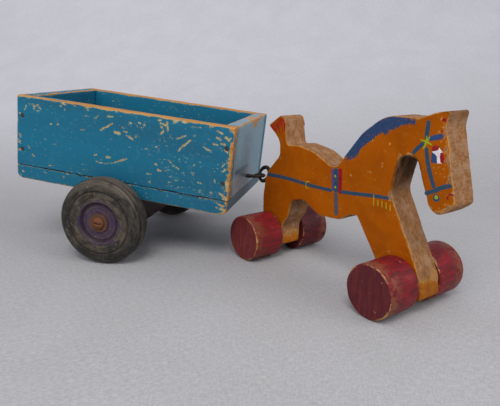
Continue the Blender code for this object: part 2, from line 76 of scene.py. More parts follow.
def lattice_noise(points: Array, size: float, seed: int) -> Array:
    """Smooth noise from -1 to 1.

    Each corner of a lattice of cubes holds a hashed value, and a point takes the eight around it,
    blended by 3t^2 - 2t^3 along each axis.

    Args:
        points: n by 3 places.
        size: edge of a cube, in the same unit.
        seed: picks another pattern.

    Returns:
        n values.
    """
    scaled = points / size
    cell = np.floor(scaled).astype(np.int64)
    part = scaled - cell
    part = part * part * (3.0 - 2.0 * part)
    total = np.zeros(len(points))
    for corner in np.ndindex(2, 2, 2):
        at = cell + np.array(corner)
        key = at[:, 0] * 73856093 ^ at[:, 1] * 19349663 ^ at[:, 2] * 83492791 ^ seed * 2654435761
        key = (key ^ (key >> 13)) * 1274126177 & 0xFFFFFFFF
        key = (key ^ (key >> 16)) * 2246822519 & 0xFFFFFFFF
        value = key / 0x7FFFFFFF - 1.0
        weight = np.prod(np.where(np.array(corner) == 1, part, 1.0 - part), axis=1)
        total += value * weight
    return total


def layered_noise(points: Array, size: float, seed: int, layers: int = 3) -> Array:
    """Sum of lattice noises, each half as wide and half as strong as the one before."""
    total = np.zeros(len(points))
    for layer in range(layers):
        total += lattice_noise(points, size / 2.0**layer, seed + layer) / 2.0**layer
    return total


def smooth_step(low: float, high: float, value: Array) -> Array:
    """0 below low, 1 above high, and 3t^2 - 2t^3 between."""
    t = np.clip((value - low) / (high - low), 0.0, 1.0)
    return t * t * (3.0 - 2.0 * t)


def bump_at(value: Array, centre: float, width: float) -> Array:
    """Bell curve of height 1 around a centre."""
    return np.exp(-(((value - centre) / width) ** 2))


def lengths_along(points: Array) -> Array:
    """Length along a line of points at each of them."""
    return np.concatenate([[0.0], np.cumsum(np.linalg.norm(np.diff(points, axis=0), axis=1))])


def segment_distance(points: Array, start: Sequence[float], end: Sequence[float]) -> Array:
    """Distance from 2-D points to a straight stroke: to the nearest point A + t (B - A), t in 0..1."""
    first = np.array(start, float)
    run = np.array(end, float) - first
    share = np.clip((points - first) @ run / max(run @ run, 1e-12), 0.0, 1.0)
    return np.linalg.norm(points - first - share[:, None] * run, axis=1)


# Placing and making meshes


@dataclass(frozen=True)
class Placement:
    """Where a sub-assembly's own axes lie in the row frame: turned about one axis, then moved."""

    origin: Triple
    axis: str
    angle: float

    def matrix(self) -> Matrix:
        """Own axes to the row frame, in metres."""
        return Matrix.Translation(self.origin) @ Matrix.Rotation(self.angle, 4, self.axis)

    def into_row(self, points: Array) -> Array:
        """Points in own millimetres as points in the row frame, in metres."""
        matrix = np.array(self.matrix())
        return (points * MM) @ matrix[:3, :3].T + matrix[:3, 3]

    def own(self, points: Array) -> Array:
        """Points in the row frame as own millimetres."""
        matrix = np.array(self.matrix().inverted())
        return (points @ matrix[:3, :3].T + matrix[:3, 3]) / MM

    def node_box(self, node: str) -> tuple[Array, Array]:
        """Lowest and highest corners of a CAD node along the own axes, in millimetres."""
        mesh = frame["nodes"][node].data
        flat = np.zeros(len(mesh.vertices) * 3)
        mesh.vertices.foreach_get("co", flat)
        points = self.own(flat.reshape(-1, 3))
        return points.min(0), points.max(0)


def place_from_record() -> tuple[Placement, Placement]:
    """Placements of the cart and the horse, read from the record's joints and its mount."""
    joints = {joint["name"]: joint for joint in frame["joints"]}
    near, far = (np.array(joints[side + "_wheel_spin"]["pos_m"]) for side in ("near", "far"))
    normal = frame["record"]["mounts"][0]["axis"]
    cart = Placement(tuple((near + far) / 2.0), "Y", math.atan2(normal[0], normal[2]))
    rear = joints["rear_axle_spin"]
    x, y, _ = rear["pos_m"]
    yaw = math.atan2(rear["axis"][1], rear["axis"][0]) - math.pi / 2.0
    return cart, Placement((x, y, 0.0), "Z", yaw)


class Side(Enum):
    """Side of a sub-assembly: its sign along y."""

    NEAR = -1.0
    FAR = 1.0

    def of(self, what: str) -> str:
        """A name with the side before it."""
        return f"{self.name.lower()}_{what}"


@dataclass
class Shape:
    """A mesh in the making: vertices in own millimetres, faces, and number fields on the vertices."""

    points: Array
    faces: list[tuple[int, ...]]
    fields: dict[str, Array] = field(default_factory=dict)

    def set_on(self, side: Side, shift: Sequence[float]) -> None:
        """Turn a body made for the far side to its own side, and move it."""
        self.points = self.points * np.array([1.0, side.value, 1.0]) + np.array(shift)
        if side is Side.NEAR:
            self.faces = [face[::-1] for face in self.faces]

    def piece(self, name: str, place: Placement, body: str, material: Material,
              replaces: Iterable[str] = (), slot: str | None = None) -> bpy.types.Object:
        """Make the object, put it in the row frame and let it ride on its body.

        Args:
            name: the piece's name.
            place: its sub-assembly's placement.
            body: the CAD body that carries it.
            material: its finish.
            replaces: CAD nodes that it stands for.
            slot: the record's material slot; not used.

        Returns:
            The object.
        """
        mesh = bpy.data.meshes.new(name)
        mesh.from_pydata(place.into_row(self.points), [], self.faces)
        for key, values in self.fields.items():
            kind = "FLOAT_VECTOR" if values.ndim == 2 else "FLOAT"
            layer = mesh.attributes.new(key, kind, "POINT")
            target = "vector" if values.ndim == 2 else "value"
            layer.data.foreach_set(target, values.astype(np.float32).ravel())
        mesh.polygons.foreach_set("use_smooth", np.ones(len(mesh.polygons), bool))
        mesh.update()
        mesh.materials.append(material)
        return register(add_object(name, mesh), body, replaces)


def add_object(name: str, data: bpy.types.ID) -> bpy.types.Object:
    """Make an object and put it in the scene."""
    thing = bpy.data.objects.new(name, data)
    bpy.context.scene.collection.objects.link(thing)
    return thing


def register(thing: bpy.types.Object, body: str, replaces: Iterable[str] = ()) -> bpy.types.Object:
    """Let a finished piece ride on its body, hide the CAD nodes that it stands for, and report it."""
    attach(thing, body)
    if replaces:
        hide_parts(*replaces)
    LOG.info("%s on %s: %d faces", thing.name, body, len(thing.data.polygons))
    return thing


def grid_faces(rows: int, columns: int, start: int = 0, wrap: bool = False) -> list[tuple[int, ...]]:
    """Quads of a grid of vertices, row by row; wrap joins the last column to the first."""
    i, j = np.meshgrid(np.arange(rows - 1), np.arange(columns if wrap else columns - 1), indexing="ij")
    after = (j + 1) % columns
    quads = np.stack([i * columns + j, i * columns + after, (i + 1) * columns + after,
                      (i + 1) * columns + j], axis=-1)
    return [tuple(q) for q in (quads.reshape(-1, 4) + start).tolist()]


def spaced(low: float, high: float, step: float) -> Array:
    """Evenly spaced values from low to high, both included, no more than a step apart."""
    return np.linspace(low, high, max(2, int(math.ceil((high - low) / step)) + 1))


def welded(points: Array, faces: Iterable[Sequence[int]],
           digits: int) -> tuple[Array, list[tuple[int, ...]]]:
    """Join the vertices that agree to a number of decimals, and drop the faces that fold away.

    Args:
        points: the vertices.
        faces: rows of points.
        digits: decimals that count.

    Returns:
        The row in points of each kept vertex, and the faces between those.
    """
    _, keep, where = np.unique(np.round(points, digits), axis=0, return_index=True, return_inverse=True)
    rings = (tuple(dict.fromkeys(where.ravel()[list(face)].tolist())) for face in faces)
    return keep, [ring for ring in rings if len(ring) > 2]


def rounded_lines(low: float, high: float, radii: Pair, step: float) -> Array:
    """Grid lines along one side of a block, closer together where its edges are rounded.

    A line at radius (1 - tan a) from the end is carried to angle a on the round.
    """
    first, last = ((1.0 - np.tan(np.radians([45.0, 32.0, 18.0]))) * r for r in radii)
    return np.concatenate([low + first, spaced(low + radii[0], high - radii[1], step), high - last[::-1]])


def rounded_block(low: Array, high: Array, radii: Array, step: float,
                  sheltered: Sequence[tuple[int, int]] = ()) -> tuple[Shape, Array]:
    """Block with rounded edges, as six welded grids.

    Each point p of the plain block is drawn to q + r u / |u|, where q is p clamped to the block
    shrunk by the radii r, and u is (p - q) / r.

    Args:
        low: lowest corner.
        high: highest corner.
        radii: how far the rounding reaches in from each side, 2 rows (low, high) by 3.
        step: grid spacing.
        sheltered: sides, as (axis, 0 low or 1 high), whose edges don't count as edges.

    Returns:
        The shape, with its field "edge" (distance to the nearest edge), and outward normals.
    """
    lines = [rounded_lines(low[k], high[k], tuple(radii[:, k]), step) for k in range(3)]
    points, faces = [], []
    for axis in range(3):
        a, b = (axis + 1) % 3, (axis + 2) % 3
        u, v = np.meshgrid(lines[a], lines[b], indexing="ij")
        for level, forward in ((low[axis], False), (high[axis], True)):
            patch = np.zeros((u.size, 3))
            patch[:, axis], patch[:, a], patch[:, b] = level, u.ravel(), v.ravel()
            quads = grid_faces(*u.shape, sum(len(p) for p in points))
            faces += [q[::-1] for q in quads] if forward else quads
            points.append(patch)
    raw = np.vstack(points)
    inner = np.clip(raw, low + radii[0], high - radii[1])
    reach = np.where(raw > inner, radii[1], radii[0])
    unit = (raw - inner) / reach
    unit /= np.linalg.norm(unit, axis=1)[:, None]
    shaped = inner + unit * reach
    normal = unit / reach
    normal /= np.linalg.norm(normal, axis=1)[:, None]
    keep, faces = welded(raw, faces, 5)
    away = np.stack([raw - low, high - raw])
    for axis, end in sheltered:
        away[end, :, axis] = np.where(away[end, :, axis] < 1e-6, 0.0, 1e3)
    to_faces = np.sort(away.min(0), axis=1)
    return Shape(shaped[keep], faces, {"edge": to_faces[keep, 1]}), normal[keep]


def turned(profile: Array, steps: int, wobble: Callable[[Array, Array], Array]) -> Shape:
    """Body turned about Y.

    The profile's points (radius r, along y) go round as (r sin a, y, r cos a). A point on the axis
    stays one vertex.

    Args:
        profile: n by 2 points, from the axis or round a closed section, outside to the left of its run.
        steps: facets round.
        wobble: how far inwards each point lies, from its (angle, profile row).

    Returns:
        The shape, with fields "run" (length along the profile), and "turn" (own x, y, z).
    """
    rows = np.repeat(np.arange(len(profile)), steps)
    angles = np.tile(np.arange(steps) * 2.0 * math.pi / steps, len(profile))
    radius, y = profile[rows].T
    radius = np.maximum(radius - wobble(angles, rows), 0.0) * (radius > 0)
    points = np.c_[radius * np.sin(angles), y, radius * np.cos(angles)]
    keep, faces = welded(points, grid_faces(len(profile), steps, 0, True), 6)
    run = lengths_along(profile)[rows]
    return Shape(points[keep], faces, {"run": run[keep], "turn": points[keep].copy()})


# Node graphs


class Graph:
    """Nodes of one material, written as nested calls. Lengths are millimetres in own axes."""

    def __init__(self, name: str) -> None:
        """Start a material with a Principled shader."""
        self.material = bpy.data.materials.new(name)
        self.material.use_nodes = True
        self.tree = self.material.node_tree
        self.tree.nodes.clear()
        self.shader = self.tree.nodes.new("ShaderNodeBsdfPrincipled")
        output = self.tree.nodes.new("ShaderNodeOutputMaterial")
        self.tree.links.new(self.shader.outputs[0], output.inputs["Surface"])

    def put(self, socket: Socket, value: object) -> None:
        """Link a socket into another, or set its own value, a screen colour in linear light."""
        if isinstance(value, Socket):
            self.tree.links.new(value, socket)
        elif isinstance(value, tuple) and len(value) == 3 and socket.type == "RGBA":
            socket.default_value = (*linear_light(value), 1.0)
        else:
            socket.default_value = value

    def add(self, kind: str, values: dict, **settings: object) -> bpy.types.Node:
        """One node with its settings and its inputs' values."""
        node = self.tree.nodes.new(kind)
        for key, setting in settings.items():
            setattr(node, key, setting)
        for key, value in values.items():
            self.put(node.inputs[key], value)
        return node

    def math(self, operation: str, a: object, b: object = 0.0, c: object = 0.0) -> Socket:
        """One sum of numbers."""
        node = self.add("ShaderNodeMath", {0: a, 1: b, 2: c}, operation=operation)
        return node.outputs[0]

    def times(self, a: object, b: object) -> Socket:
        """One number times another."""
        return self.math("MULTIPLY", a, b)

    def less(self, a: object, b: object) -> Socket:
        """One number less another."""
        return self.math("SUBTRACT", a, b)

    def scaled(self, a: object, b: object, c: object) -> Socket:
        """a b + c."""
        return self.math("MULTIPLY_ADD", a, b, c)

    def vector(self, operation: str, a: object, b: object = (0.0, 0.0, 0.0)) -> Socket:
        """One sum of vectors."""
        node = self.add("ShaderNodeVectorMath", {0: a, 1: b}, operation=operation)
        return node.outputs["Value" if operation == "LENGTH" else "Vector"]

    def own(self, place: Placement) -> Socket:
        """Object coordinates brought into a placement's own axes, in millimetres."""
        source = self.tree.nodes.new("ShaderNodeTexCoord").outputs["Object"]
        back = place.matrix().inverted()
        values = {"Vector": source, "Location": tuple(back.translation / MM),
                  "Rotation": tuple(back.to_euler()), "Scale": (1 / MM, 1 / MM, 1 / MM)}
        return self.add("ShaderNodeMapping", values).outputs[0]

    def field(self, name: str, vector: bool = False) -> Socket:
        """A number or vector field that the mesh carries."""
        node = self.add("ShaderNodeAttribute", {}, attribute_name=name)
        return node.outputs["Vector" if vector else "Fac"]

    def split(self, vector: Socket) -> tuple[Socket, ...]:
        """The three parts of a vector."""
        return tuple(self.add("ShaderNodeSeparateXYZ", {0: vector}).outputs)

    def noise(self, at: Socket, size: float, detail: float = 3.0, twist: float = 0.0,
              stretch: Sequence[float] = (1.0, 1.0, 1.0), shift: float = 0.0,
              rough: float = 0.55) -> Socket:
        """Noise of about 0 to 1, with features of a size, stretched along the own axes."""
        scale = tuple(1.0 / (size * s) for s in stretch)
        place = self.add("ShaderNodeMapping", {"Vector": at, "Scale": scale, "Location": (shift,) * 3})
        values = {"Vector": place.outputs[0], "Scale": 1.0, "Detail": detail, "Roughness": rough,
                  "Distortion": twist}
        return self.add("ShaderNodeTexNoise", values).outputs["Fac"]

    def smooth(self, value: object, low: float, high: float) -> Socket:
        """0 below low to 1 above high, eased at both ends."""
        values = {"Value": value, "From Min": low, "From Max": high}
        return self.add("ShaderNodeMapRange", values, interpolation_type="SMOOTHSTEP").outputs[0]

    def mix(self, share: object, a: object, b: object, kind: str = "MIX") -> Socket:
        """Colour a where share is 0, b where it is 1."""
        node = self.add("ShaderNodeMix", {0: share, 6: a, 7: b}, data_type="RGBA", blend_type=kind)
        return node.outputs[2]

    def tint(self, colour: object, over: object, mask: object, share: object) -> Socket:
        """A colour with another laid over it where a mask is 1, to a share."""
        return self.mix(self.times(mask, share), colour, over)

    def patches(self, at: Socket, size: float, low: float, high: float, **noise: object) -> Socket:
        """Noise cut to patches: 0 where it is below low, 1 above high."""
        return self.smooth(self.noise(at, size, **noise), low, high)

    def relief(self, height: object) -> Socket:
        """Bump normal of a height in millimetres."""
        return self.add("ShaderNodeBump", {"Height": height, "Distance": MM, "Strength": 1.0}).outputs[0]

    def finish(self, colour: object, roughness: object, normal: object, **others: object) -> Material:
        """Close the graph on its shader. Others are the shader's inputs, with _ for a space."""
        values = {"Base Color": colour, "Roughness": roughness, "Normal": normal}
        values.update((key.replace("_", " "), value) for key, value in others.items())
        for key, value in values.items():
            self.put(self.shader.inputs[key], value)
        return self.material


# Finishes


@dataclass(frozen=True)
class BareWood:
    """Sawn softwood: bands and fibres along the grain, with dark specks and rubbed pale patches."""

    light: Colour
    dark: Colour
    speck: Colour
    grain: Triple = (14.0, 1.0, 1.0)
    band: float = 2.6
    rubbed_share: float = 0.0
    rubbed: Colour = (188, 158, 134)

    def colour(self, graph: Graph, at: Socket) -> Socket:
        """Colour of the wood at own coordinates."""
        bands = graph.patches(at, self.band, 0.3, 0.7, twist=0.4, stretch=self.grain, shift=3.0)
        fibres = graph.noise(at, 0.45, 2.0, 0.0, self.grain, 9.0)
        base = graph.mix(bands, self.light, self.dark)
        base = graph.mix(graph.times(fibres, 0.5), base, self.light, "MULTIPLY")
        specks = graph.patches(at, 0.9, 0.56, 0.72, stretch=(2.5, 1.0, 1.0), shift=5.0)
        base = graph.tint(base, self.speck, specks, 0.55)
        if self.rubbed_share > 0.0:
            pale = graph.patches(at, 6.0, 0.44, 0.64, detail=5.0, twist=0.4, shift=15.0)
            base = graph.tint(base, self.rubbed, pale, self.rubbed_share)
        return base

    def height(self, graph: Graph, at: Socket) -> Socket:
        """Relief of the fibres, in millimetres."""
        return graph.times(graph.noise(at, 0.5, 3.0, 0.0, self.grain, 9.0), 0.09)

    def material(self, name: str, place: Placement) -> Material:
        """The wood as a finish of its own."""
        graph = Graph(name)
        at = graph.own(place)
        rough = graph.scaled(graph.noise(at, 2.0), 0.2, 0.62)
        relief = graph.relief(self.height(graph, at))
        return graph.finish(self.colour(graph, at), rough, relief, Specular_IOR_Level=0.2)


@dataclass(frozen=True)
class WornPaint:
    """Old paint on wood, gone where the mesh's field "cover" and the noise on it fall below zero.

    The mesh's fields are "cover" and "mark", how far in millimetres a point lies inside the paint
    from a worn edge and from a scratch, "stain", how dark it has gone, from stains and, on the nose
    face, a painted shadow of the hook's shank, and "end_tone", how much of a greyer tone it takes,
    painted sheen and shade on the faces turned to the nose and a rubbed cloud on the nose face.
    grain_field names a field of places for the wood's pattern.
    """

    paint: Colour
    shade: Colour
    worn: Colour
    wood: BareWood
    ragged: float = 0.8
    chip_size: float = 3.0
    chip_level: float = 0.70
    fleck: Colour = (0, 0, 0)
    fleck_level: float = 0.66
    rubbing: float = 0.35
    streak: Triple = (8.0, 1.0, 1.0)
    roughness: float = 0.42
    stain: Colour = (58, 38, 30)
    undercoat: Colour = (164, 164, 138)
    fleck_size: float = 1.5
    shine: float = 0.25
    film: float = 0.09
    thin_share: float = 0.5
    # Greyer, darker tone for faces turned to the nose: painted sheen and shade.
    end_tone: Colour = (74, 98, 112)
    rings: tuple[Triple, ...] = ()
    grain_field: str = ""

    def ring_marks(self, graph: Graph, at: Socket, wander: Socket, colour: Socket) -> Socket:
        """Pale rings that the rollers have rubbed round their axles."""
        for x, z, radius in self.rings:
            flat = graph.vector("MULTIPLY", graph.vector("SUBTRACT", at, (x, 0.0, z)), (1.0, 0.0, 1.0))
            off = graph.math("ABSOLUTE", graph.less(graph.vector("LENGTH", flat), radius))
            mark = graph.smooth(graph.scaled(wander, 2.4, off), 0.5, 0.1)
            colour = graph.tint(colour, self.worn, mark, 0.4)
        return colour

    def coat(self, graph: Graph, at: Socket, wander: Socket, thin: Socket) -> tuple[Socket, Socket]:
        """Colour of the paint itself, and the brush marks in it."""
        tone = graph.patches(at, 22.0, 0.3, 0.7, twist=0.5, stretch=self.streak)
        brush = graph.noise(at, 1.1, 2.0, 0.0, self.streak, 4.0)
        colour = graph.tint(graph.mix(tone, self.paint, self.shade), self.shade, brush, 0.4)
        rubbed = graph.patches(at, 5.0, 0.54, 0.74, detail=5.0, twist=0.6, shift=30.0)
        rubbed = graph.times(rubbed, self.rubbing)
        colour = graph.mix(graph.math("MAXIMUM", thin, rubbed), colour, self.worn)
        return self.ring_marks(graph, at, wander, colour), brush

    def covers(self, graph: Graph, at: Socket, wander: Socket) -> tuple[Socket, Socket]:
        """How far a point lies inside the paint, all wear counted, and the same for scratches alone."""
        fine = graph.less(graph.noise(at, 0.8, 3.0, 0.2, shift=50.0), 0.5)
        cover = graph.scaled(wander, self.ragged * 2.4, graph.field("cover"))
        chips = graph.noise(at, self.chip_size, 4.0, 0.8, (1.6, 1.0, 1.0), 17.0, 0.6)
        flakes = graph.times(graph.less(self.chip_level, chips), 9.0)
        mark = graph.scaled(fine, 2.6, graph.scaled(wander, 1.6, graph.field("mark")))
        return graph.math("MINIMUM", graph.math("MINIMUM", cover, mark), flakes), mark

    def flecks(self, graph: Graph, at: Socket) -> Socket:
        """Small pale flecks, crowded in places."""
        clusters = graph.times(graph.patches(at, 16.0, 0.40, 0.66, detail=2.0, shift=60.0), 0.09)
        specks = graph.noise(at, self.fleck_size, 3.0, 0.6, (1.3, 1.0, 0.8), 70.0, 0.6)
        return graph.smooth(graph.math("ADD", specks, clusters), self.fleck_level, self.fleck_level + 0.035)

    def material(self, name: str, place: Placement) -> Material:
        """Build the node graph for a placement's axes."""
        graph = Graph(name)
        at = graph.own(place)
        grain = graph.field(self.grain_field, True) if self.grain_field else at
        wander = graph.less(graph.noise(at, 2.4, 5.0, 0.3), 0.5)
        cover, mark = self.covers(graph, at, wander)
        painted = graph.smooth(cover, -0.03, 0.10)
        thin = graph.times(graph.smooth(cover, 0.7, 0.05), self.thin_share)
        colour, brush = self.coat(graph, at, wander, thin)
        flecks = self.flecks(graph, at)
        colour = graph.tint(colour, self.fleck, flecks, 0.75)
        # The end tone: painted sheen and shade on faces turned to the nose, a rubbed cloud on the nose face.
        colour = graph.mix(graph.field("end_tone"), colour, self.end_tone)
        deep = graph.patches(at, 3.0, 0.66, 0.46, shift=44.0)
        rest = graph.times(graph.smooth(cover, -0.9, -0.1), 0.6)
        primer = graph.times(graph.math("MAXIMUM", graph.smooth(mark, 0.12, -0.05), rest), deep)
        under = graph.mix(primer, self.wood.colour(graph, grain), self.undercoat)
        # Darker where the stain field says: rust and burns, and on the nose face a painted shadow of the hook.
        colour = graph.tint(graph.mix(painted, under, colour), self.stain, graph.field("stain"), 0.8)
        gloss = graph.scaled(graph.noise(at, 3.0, 4.0), 0.22, self.roughness - 0.08)
        rough = graph.scaled(graph.less(1.0, painted), 0.28, gloss)
        film = graph.scaled(painted, self.film, graph.times(brush, 0.03))
        bare = graph.times(self.wood.height(graph, grain), graph.less(1.0, painted))
        relief = graph.relief(graph.math("ADD", graph.scaled(flecks, -0.04, film), bare))
        return graph.finish(colour, rough, relief, Specular_IOR_Level=self.shine)


@dataclass(frozen=True)
class BrushPaint:
    """Harness paint brushed over the horse's orange, with small chips back to what is under it."""

    paint: Colour
    shade: Colour
    under: Colour
    chip_level: float = 0.66
    roughness: float = 0.45

    def material(self, name: str, place: Placement) -> Material:
        """Build the node graph for a placement's axes."""
        graph = Graph(name)
        at = graph.own(place)
        tone = graph.patches(at, 2.2, 0.3, 0.7, twist=0.6)
        chips = graph.patches(at, 1.5, self.chip_level - 0.02, self.chip_level + 0.03, detail=4.0,
                              twist=0.5, shift=11.0)
        colour = graph.mix(chips, graph.mix(tone, self.paint, self.shade), self.under)
        rough = graph.scaled(graph.noise(at, 1.5), 0.25, self.roughness - 0.1)
        height = graph.scaled(tone, 0.03, graph.times(chips, -0.05))
        return graph.finish(colour, rough, graph.relief(height), Specular_IOR_Level=0.2)


@dataclass(frozen=True)
class RollerPaint:
    """Red paint on a short roller: streaks along it, darker end grain, a worn ring at each edge.

    The mesh's fields are "turn", own x, y and z from the roller's inner face, "end", 1 on an end,
    "outer", how near the outer end a point is, and "cover", how far inside the paint.
    """

    side: Colour
    side_shade: Colour
    side_worn: Colour
    end: Colour
    end_line: Colour
    wood: BareWood
    side_rubbed: Colour = (124, 70, 50)

    def sides(self, graph: Graph, at: Socket, streaks: Socket) -> Socket:
        """Colour of the round side."""
        side = graph.mix(graph.smooth(streaks, 0.32, 0.68), self.side, self.side_shade)
        # Pale pinkish streaks along the side: worn paint and painted sheen.
        pale = graph.patches(at, 4.5, 0.52, 0.75, detail=4.0, twist=0.5, stretch=(1.0, 3.0, 1.0), shift=21.0)
        side = graph.tint(side, self.side_worn, pale, 0.5)
        dark = graph.patches(at, 8.0, 0.48, 0.6, twist=0.6, stretch=(1.0, 1.6, 1.0), shift=33.0)
        side = graph.tint(side, self.side_shade, dark, 0.55)
        rubbed = graph.patches(at, 5.0, 0.40, 0.56, detail=5.0, twist=0.5, shift=41.0)
        return graph.tint(side, self.side_rubbed, rubbed, graph.times(graph.field("outer"), 0.95))

    def ends(self, graph: Graph, at: Socket) -> Socket:
        """Colour of the ends."""
        lines = graph.patches(at, 1.3, 0.42, 0.66, twist=0.4, stretch=(1.0, 1.0, 14.0), shift=6.0)
        blot = graph.times(graph.noise(at, 9.0, 3.0, 0.4), 0.6)
        return graph.mix(blot, graph.mix(lines, self.end, self.end_line), self.end, "MULTIPLY")

    def material(self, name: str) -> Material:
        """Build the node graph."""
        graph = Graph(name)
        at = graph.field("turn", True)
        streaks = graph.noise(at, 1.6, 3.0, 0.3, (1.0, 9.0, 1.0))
        on_end = graph.smooth(graph.field("end"), 0.35, 0.65)
        colour = graph.mix(on_end, self.sides(graph, at, streaks), self.ends(graph, at))
        ragged = graph.scaled(graph.less(graph.noise(at, 2.2, 5.0, 0.5), 0.5), 3.0, graph.field("cover"))
        chips = graph.times(graph.less(0.72, graph.noise(at, 2.6, 4.0, 0.7, shift=13.0)), 8.0)
        painted = graph.smooth(graph.math("MINIMUM", ragged, chips), -0.08, 0.2)
        colour = graph.mix(painted, self.wood.colour(graph, at), colour)
        rough = graph.scaled(graph.noise(at, 2.0, 4.0), 0.25, 0.36)
        film = graph.scaled(painted, 0.08, graph.times(streaks, 0.1))
        return graph.finish(colour, rough, graph.relief(film), Specular_IOR_Level=0.25)


@dataclass(frozen=True)
class WheelPaint:
    """Dark worn paint on a turned wheel, in rings: sunk hub, raised ring, shoulder and tread.

    The mesh's fields are "turn", own x, y and z, "run", the length along the wheel's section, "arc",
    places that follow the rings round, and "groove", 1 in a groove. The rings' radii are millimetres.
    """

    hub: Colour
    hub_worn: Colour
    ring: Colour
    ring_worn: Colour
    shoulder: Colour
    tread: Colour
    gold: Colour = (138, 104, 58)
    tread_bare: Colour = (112, 98, 86)
    shoulder_bare: Colour = (94, 86, 76)
    # Painted shade: near-black for the corner where the sunk hub meets its wall.
    lip: Colour = (26, 22, 26)
    scuff: Colour = (150, 138, 112)
    # Near-black for the grooves, and painted shade over the wheel's inner face.
    grime: Colour = (26, 24, 22)

    def rings(self, graph: Graph, at: Socket, arcs: Socket) -> tuple[Socket, ...]:
        """Colours of the hub, the ring, the shoulder and the tread."""
        hub = graph.patches(at, 6.0, 0.35, 0.65, detail=4.0, twist=0.5, shift=8.0)
        ring = graph.patches(arcs, 3.6, 0.36, 0.68, detail=5.0, twist=0.7, shift=3.0)
        gold = graph.patches(arcs, 1.8, 0.60, 0.70, detail=4.0, twist=0.8, shift=23.0)
        shoulder = graph.patches(at, 5.0, 0.38, 0.66, detail=4.0, twist=0.5, shift=5.0)
        tread = graph.patches(at, 4.0, 0.38, 0.66, detail=5.0, twist=0.5, shift=2.0)
        # More bare patches towards the wheel's top: worn paint, with painted light from above.
        top_light_share = graph.times(graph.smooth(graph.split(at)[2], 18.0, 27.0), 0.16)
        bare = graph.math("ADD", graph.noise(arcs, 5.0, 5.0, 0.8, shift=31.0), top_light_share)
        bare = graph.smooth(bare, 0.46, 0.70)
        shoulder = graph.mix(shoulder, self.shoulder, self.tread)
        tread = graph.mix(tread, self.tread, self.ring)
        return (graph.mix(hub, self.hub, self.hub_worn),
                graph.tint(graph.mix(ring, self.ring, self.ring_worn), self.gold, gold, 0.55),
                graph.tint(shoulder, self.shoulder_bare, bare, 0.6),
                graph.tint(tread, self.tread_bare, bare, 0.8))

    def material(self, name: str) -> Material:
        """Build the node graph."""
        graph = Graph(name)
        at = graph.field("turn", True)
        run = graph.field("run")
        radius = graph.vector("LENGTH", graph.vector("MULTIPLY", at, (1.0, 0.0, 1.0)))
        zone = graph.scaled(graph.less(graph.noise(at, 7.0, 4.0, 0.4), 0.5), 9.0, radius)
        lathe = graph.add("ShaderNodeTexNoise", {"W": graph.times(run, 2.2), "Scale": 1.0, "Detail": 2.0},
                          noise_dimensions="1D").outputs["Fac"]
        hub, ring, shoulder, tread = self.rings(graph, at, graph.field("arc", True))
        colour = graph.mix(graph.smooth(zone, 15.0, 17.6), hub, ring)
        # Painted shade round the rim of the sunk hub, where its wall keeps the light off.
        lip = graph.smooth(graph.math("ABSOLUTE", graph.less(radius, 13.6)), 2.0, 0.3)
        colour = graph.tint(colour, self.lip, lip, 0.7)
        colour = graph.mix(graph.smooth(zone, 21.5, 25.0), colour, shoulder)
        colour = graph.mix(graph.smooth(radius, 29.0, 31.2), colour, tread)
        colour = graph.mix(graph.smooth(lathe, 0.5, 0.75), colour, self.shoulder)
        scuffs = graph.patches(at, 1.4, 0.62, 0.74, detail=5.0, twist=0.8, shift=40.0)
        colour = graph.tint(colour, self.scuff, scuffs, 0.5)
        # Darker in the grooves, and painted shade over the wheel's inner face, which is turned from the light.
        grime = graph.math("MAXIMUM", graph.field("groove"), graph.smooth(run, 27.0, 23.0))
        colour = graph.tint(colour, self.grime, grime, 0.85)
        rough = graph.scaled(graph.noise(at, 2.0, 4.0), 0.3, 0.38)
        height = graph.scaled(lathe, 0.12, graph.times(graph.noise(at, 1.0, 4.0), 0.1))
        return graph.finish(colour, rough, graph.relief(height), Specular_IOR_Level=0.25)


@dataclass(frozen=True)
class OldMetal:
    """Steel with rust over part of it."""

    steel: Colour
    rust: Colour
    rust_dark: Colour
    share: float
    metal: float = 0.85

    def material(self, name: str, place: Placement) -> Material:
        """Build the node graph for a placement's axes."""
        graph = Graph(name)
        at = graph.own(place)
        crust = graph.noise(at, 1.1, 5.0, 0.4)
        level = 0.5 + (0.5 - self.share) * 0.5
        rusted = graph.smooth(crust, level - 0.06, level + 0.06)
        deep = graph.patches(at, 0.5, 0.35, 0.65, detail=4.0, shift=7.0)
        colour = graph.mix(rusted, self.steel, graph.mix(deep, self.rust, self.rust_dark))
        rough = graph.scaled(rusted, 0.42, 0.38)
        metal = graph.scaled(rusted, 0.05 - self.metal, self.metal)
        relief = graph.relief(graph.times(crust, 0.12))
        return graph.finish(colour, rough, relief, Metallic=metal)


OCHRE_WOOD = BareWood((206, 156, 90), (172, 120, 60), (108, 82, 52))
EDGE_WOOD = BareWood((170, 126, 86), (140, 98, 62), (96, 64, 42), (2.6, 1.0, 1.0), 1.3,
                     rubbed_share=0.28)
PALE_WOOD = BareWood((196, 152, 100), (150, 104, 62), (104, 66, 42))
UNDER = (150, 76, 8)


